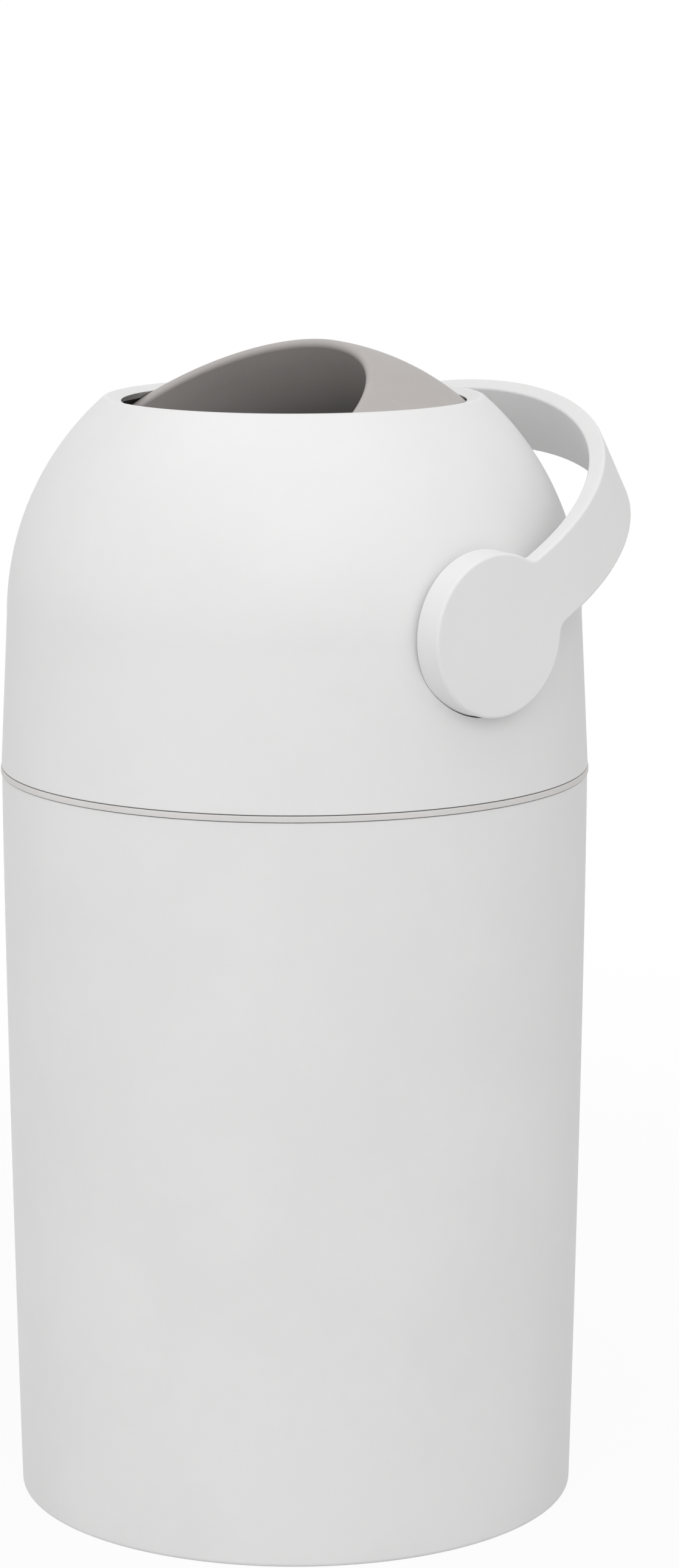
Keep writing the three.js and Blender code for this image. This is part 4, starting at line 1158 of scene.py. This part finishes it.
def flat_handle(total):
    """Half the handle before its strap is bent: the face at height 0, the back below it."""
    mesh, disc, strap = flat_end(total)
    facing_out(mesh)
    if disc.normal.z < 0:
        bmesh.ops.reverse_faces(mesh, faces=mesh.faces)
    grown = bmesh.ops.extrude_face_region(mesh, geom=[disc, strap], use_keep_orig=True)
    back = faces_of(grown)
    corners = list({v for f in back for v in f.verts})
    bmesh.ops.translate(mesh, vec=(0, 0, -STRAP_THICKNESS * MM), verts=corners)
    bmesh.ops.reverse_faces(mesh, faces=back)
    disc_back = min(back, key=lambda f: f.calc_center_median().x)
    deep = faces_of(bmesh.ops.extrude_face_region(mesh, geom=[disc_back]))[0]
    bmesh.ops.delete(mesh, geom=[disc_back], context="FACES_ONLY")
    deeper = DISC_THICKNESS - STRAP_THICKNESS
    bmesh.ops.translate(mesh, vec=(0, 0, -deeper * MM), verts=list(deep.verts))
    flare = 1 + DISC_FLARE / DISC_RADIUS
    bmesh.ops.scale(mesh, vec=(flare, flare, 1), verts=list(deep.verts))
    facing_out(mesh)
    shared = [e for e in mesh.edges if at_level(e, 0) and all(f.normal.z > STEEP for f in e.link_faces)]
    bmesh.ops.dissolve_edges(mesh, edges=shared, use_verts=True)
    return mesh


def faces_of(grown):
    return [item for item in grown["geom"] if isinstance(item, bmesh.types.BMFace)]


def at_level(edge, height):
    return all(abs(v.co.z - height * MM) < TINY for v in edge.verts)


def handle_end(side):
    """A pivot's stub, square drive, stop lug and the pilot hole for its hub screw, as separate shapes."""
    low, root = TRUNNION_FACE + SEAT_GAP, SEAT_PLANE + DISC_SINK + WELD
    half = DRIVE_WIDTH / 2
    drive = block((-half, -half, DRIVE_END), (half, half, low + WELD))
    corners = [e for e in drive.edges if abs(e.verts[0].co.z - e.verts[1].co.z) > STUB_LUG_DEPTH * MM]
    rounded(drive, corners, DRIVE_EDGE, segments=4)
    swing = STUB_LUG_ANGLE / 2
    lug_low, lug_reach = BUSH_FACE + SEAT_GAP, STUB_RADIUS + STUB_LUG_DEPTH
    lug = wedge(STUB_RADIUS / 2, lug_reach, 90 - swing, 90 + swing, lug_low, root - SLIVER, steps=5)
    pilot_end = HUB_HEAD_FACE + HUB_SCREW_LENGTH + SEAT_GAP
    pilot = rod(SCREW_HOLE, DRIVE_END - OVERRUN, pilot_end, steps=SMALL_STEPS)
    shapes = (rod(STUB_RADIUS, low, root, FINE_EDGE), drive, lug, pilot)
    return [moved(shape, IN_DRUM @ about_x(side)) for shape in shapes]


def handle():
    table = bow_middle()
    total = table[-1][0] + STRAP_STRAIGHT
    mesh = flat_handle(total)

    def at_far(item):
        return all(abs(v.co.x - total * MM) < TINY for v in item.verts)

    def off_disc(edge):
        return min(math.hypot(v.co.x, v.co.y) for v in edge.verts) > (DISC_RADIUS + DISC_FLARE) * MM

    def rim_at(height):
        """The edges of the handle's outline at a height, without the far end's."""
        rim = [e for e in mesh.edges if at_level(e, height) and not at_far(e)]
        return [e for e in rim if any(abs(f.normal.z) < LEVEL for f in e.link_faces)]

    rounded(mesh, rim_at(0), HANDLE_ROUND, segments=5)
    rear = [e for e in rim_at(-STRAP_THICKNESS) if any(f.normal.z < -LEVEL for f in e.link_faces)]
    rounded(mesh, [e for e in rear if off_disc(e)], HANDLE_BACK_ROUND, segments=4)
    bmesh.ops.delete(mesh, geom=[f for f in mesh.faces if at_far(f)], context="FACES_ONLY")
    for i in range(BOW_SLICES):
        sliced(mesh, (STRAP_STRAIGHT + (total - STRAP_STRAIGHT) * i / BOW_SLICES, 0, 0), (1, 0, 0))
    bmesh.ops.translate(mesh, vec=(-total * MM, 0, 0), verts=mesh.verts)
    bmesh.ops.mirror(mesh, geom=everything(mesh), axis="X", merge_dist=MERGE)
    facing_out(mesh)
    for vert in mesh.verts:
        place, outward = bent(table, vert.co.x / MM)
        flat = place + outward * (vert.co.z / MM + STRAP_THICKNESS / 2)
        vert.co = Vector((flat.x, flat.y, vert.co.y / MM)) * MM
    pairs = [together(pair) for pair in zip(handle_end(1), handle_end(-1))]
    tools = list(zip(("UNION", "UNION", "UNION", "DIFFERENCE"), pairs))
    piece("handle", moved(facing_out(mesh), IN_DRUM), "drum", WHITE, tools)


# Piston


def piston_piece(name, line, up, finish):
    """A turned piece of the piston, as drawn (up is 1) or upside down (up is -1)."""
    mesh = line.turned()
    if up < 0:
        moved(mesh, FLIPPED)
    piece(name, moved(mesh, IN_PISTON), "piston", finish)


def piston_cup(name, up):
    face = PISTON_THICKNESS / 2
    dish = face - PISTON_DISH
    groove_top = face - WIPER_FROM_FACE
    groove_low = groove_top - WIPER_HEIGHT - 2 * SEAT_GAP
    wall = PISTON_RADIUS - PISTON_WALL
    ceiling = dish - PISTON_WALL
    rib_end = WEIGHT_THICKNESS / 2 + SEAT_GAP
    shoulder = PISTON_FACE_RADIUS + (PISTON_RADIUS - PISTON_FACE_RADIUS) * PISTON_EDGE / PISTON_TAPER
    shelf = groove_low - PISTON_WALL
    line = Outline(0, dish).to(RIB_RADIUS, dish, DISH_ROUND, segments=5)
    line.to(PISTON_FACE_RADIUS - PISTON_EDGE, face, FULL_EDGE, segments=4)
    line.to(shoulder, face - PISTON_EDGE, FULL_EDGE, segments=4)
    line.to(PISTON_RADIUS, face - PISTON_TAPER, PLAIN_EDGE)
    line.to(PISTON_RADIUS, groove_top).to(WIPER_RADIUS, groove_top).to(WIPER_RADIUS, groove_low)
    line.to(PISTON_RADIUS, groove_low).to(PISTON_RADIUS, HALF_SPLIT, PLAIN_EDGE)
    if up > 0:
        spigot = wall - SEAT_GAP
        line.to(spigot, HALF_SPLIT).to(spigot, -PISTON_SPIGOT, FINE_EDGE)
        line.to(spigot - RIB_WALL, -PISTON_SPIGOT, FINE_EDGE).to(spigot - RIB_WALL, shelf)
    else:
        line.to(wall, HALF_SPLIT, FINE_EDGE).to(wall, shelf)
    line.to(WIPER_RADIUS - PISTON_WALL, shelf).to(WIPER_RADIUS - PISTON_WALL, ceiling)
    line.to(RIB_RADIUS + RIB_WALL, ceiling).to(RIB_RADIUS + RIB_WALL, rib_end, FINE_EDGE)
    line.to(RIB_RADIUS, rib_end, FINE_EDGE).to(RIB_RADIUS, ceiling).to(0, ceiling)
    piston_piece(name, line, up, PISTON_GREY)


def piston_wiper(name, up):
    high = PISTON_THICKNESS / 2 - WIPER_FROM_FACE - SEAT_GAP
    low = high - WIPER_HEIGHT
    inner, outer = WIPER_RADIUS + SEAT_GAP, BORE_RADIUS - SEAT_GAP
    line = Outline(inner, low).to(outer, low, FINE_EDGE).to(outer, low + WIPER_HEIGHT / 2, FINE_EDGE)
    line.to(outer - SEAT_GAP, high, KEEN_EDGE).to(inner, high).close()
    piston_piece(name, line, up, RUBBER)


def piston_weight():
    half = WEIGHT_THICKNESS / 2
    mesh = rod(PISTON_RADIUS - WEIGHT_INSET, -half, half, BLUNT_EDGE)
    piece("piston_weight", moved(mesh, IN_PISTON), "piston", STEEL)


# Studio: where the camera stands, the floor and the light


CAMERA_TURN = math.radians(50.78)
CAMERA_TILT = math.radians(10.43)
CAMERA_ROLL = math.radians(-0.10)
CAMERA_DISTANCE = 1888.6
CAMERA_HEIGHT = 652.4
FOCAL_PIXELS = 7456.0
PICTURE = (1116, 2576)
AXIS_PIXEL = 484.28
SENSOR_WIDTH = 36
FLOOR_RADIUS = 6
FLOOR_TONE = (0.72, 0.72, 0.72, 1)
FLOOR_GLOW = 0.93
FLOOR_FADE = (0.3, 1.2)
PURE_WHITE = (1, 1, 1, 1)
SOFT_WHITE = (1.0, 0.998, 0.993, 1)
WORLD_STRENGTH = 0.42
LAMP_SIZE = 1.8
LAMP_AIM = Vector((0, 0, 0.3))

# How far each lamp stands right of the bin's axis, above the floor and nearer than the axis, and its power
LAMPS = {
    "left": (-2.2, 0.5, 0.6, 12.8),
    "front": (0, 1.6, 2.4, 20),
    "right_front": (1.6, 1.6, 1.6, 9),
    "top": (-0.2, 2.2, 0.2, 11.6),
    "top_right": (1.2, 2.2, 0.2, 3.8),
}


def camera():
    data = bpy.data.cameras.new("camera")
    data.sensor_width = SENSOR_WIDTH
    data.lens = FOCAL_PIXELS / PICTURE[1] * SENSOR_WIDTH
    data.shift_x = (PICTURE[0] / 2 - AXIS_PIXEL) / PICTURE[1]
    made = linked("camera", data)
    made.location = from_camera(0, CAMERA_HEIGHT * MM, CAMERA_DISTANCE * MM)
    level = Matrix.Rotation(CAMERA_TURN, 3, "Z") @ Matrix.Rotation(math.pi / 2 - CAMERA_TILT, 3, "X")
    made.rotation_euler = (level @ Matrix.Rotation(CAMERA_ROLL, 3, "Z")).to_euler()
    bpy.context.scene.camera = made


def from_camera(right, up, near):
    """A place in metres as the camera sees it: right of the bin's axis, above the floor and nearer."""
    side = Vector((math.cos(CAMERA_TURN), math.sin(CAMERA_TURN), 0))
    toward = Vector((math.sin(CAMERA_TURN), -math.cos(CAMERA_TURN), 0))
    return side * right + toward * near + UP * up


def floor():
    """A white floor that keeps a faint shadow near the bin and runs into the background further out."""
    mesh = bmesh.new()
    bmesh.ops.create_circle(mesh, cap_ends=True, radius=FLOOR_RADIUS, segments=96)
    made = loose("floor", mesh)
    paint = finish_of("floor_white")
    paint.set(Base_Color=FLOOR_TONE, Roughness=0.9)
    glow = paint.node("ShaderNodeEmission", None, {"Color": PURE_WHITE, "Strength": 1.0}).out("Emission")
    share = FLOOR_GLOW + (1 - FLOOR_GLOW) * paint.fade(paint.length(paint.place), *FLOOR_FADE)
    plain = Signal(paint, paint.surface.outputs["BSDF"])
    mixed = paint.node("ShaderNodeMixShader", None, {0: paint.seen() * share, 1: plain, 2: glow})
    paint.show(mixed.out("Shader"))
    made.data.materials.append(paint.owner)


def world_light():
    """An even soft light, behind which the background shows white."""
    bpy.context.scene.world = bpy.data.worlds.new("studio")
    paint = Paint(bpy.context.scene.world)
    light, white = (
        paint.node("ShaderNodeBackground", None, {"Color": colour, "Strength": strength}).out("Background")
        for colour, strength in ((SOFT_WHITE, WORLD_STRENGTH), (PURE_WHITE, 1.0))
    )
    paint.show(paint.node("ShaderNodeMixShader", None, {0: paint.seen(), 1: light, 2: white}).out("Shader"))


def softbox(name, place, power):
    """A large square lamp, turned towards the bin."""
    data = bpy.data.lights.new(name, "AREA")
    data.shape = "RECTANGLE"
    data.size = data.size_y = LAMP_SIZE
    data.energy = power
    lamp = linked(name, data)
    lamp.location = place
    lamp.rotation_euler = (LAMP_AIM - place).to_track_quat("-Z", "Y").to_euler()


def studio():
    camera()
    floor()
    world_light()
    for name, (right, up, near, power) in LAMPS.items():
        softbox(name, from_camera(right, up, near), power)
    bpy.context.scene.view_settings.view_transform = "Standard"


bucket()
bag_ring()
lid_seal()
head_shell()
drum_cradle()
top_drum_seal()
bottom_drum_seal()
pivot_bush("pivot_bush_right", 1)
pivot_bush("pivot_bush_left", -1)
drum_top_half()
drum_bottom_half()
handle()
screws()
piston_cup("piston_top_cup", 1)
piston_cup("piston_bottom_cup", -1)
piston_wiper("piston_top_wiper", 1)
piston_wiper("piston_bottom_wiper", -1)
piston_weight()
studio()
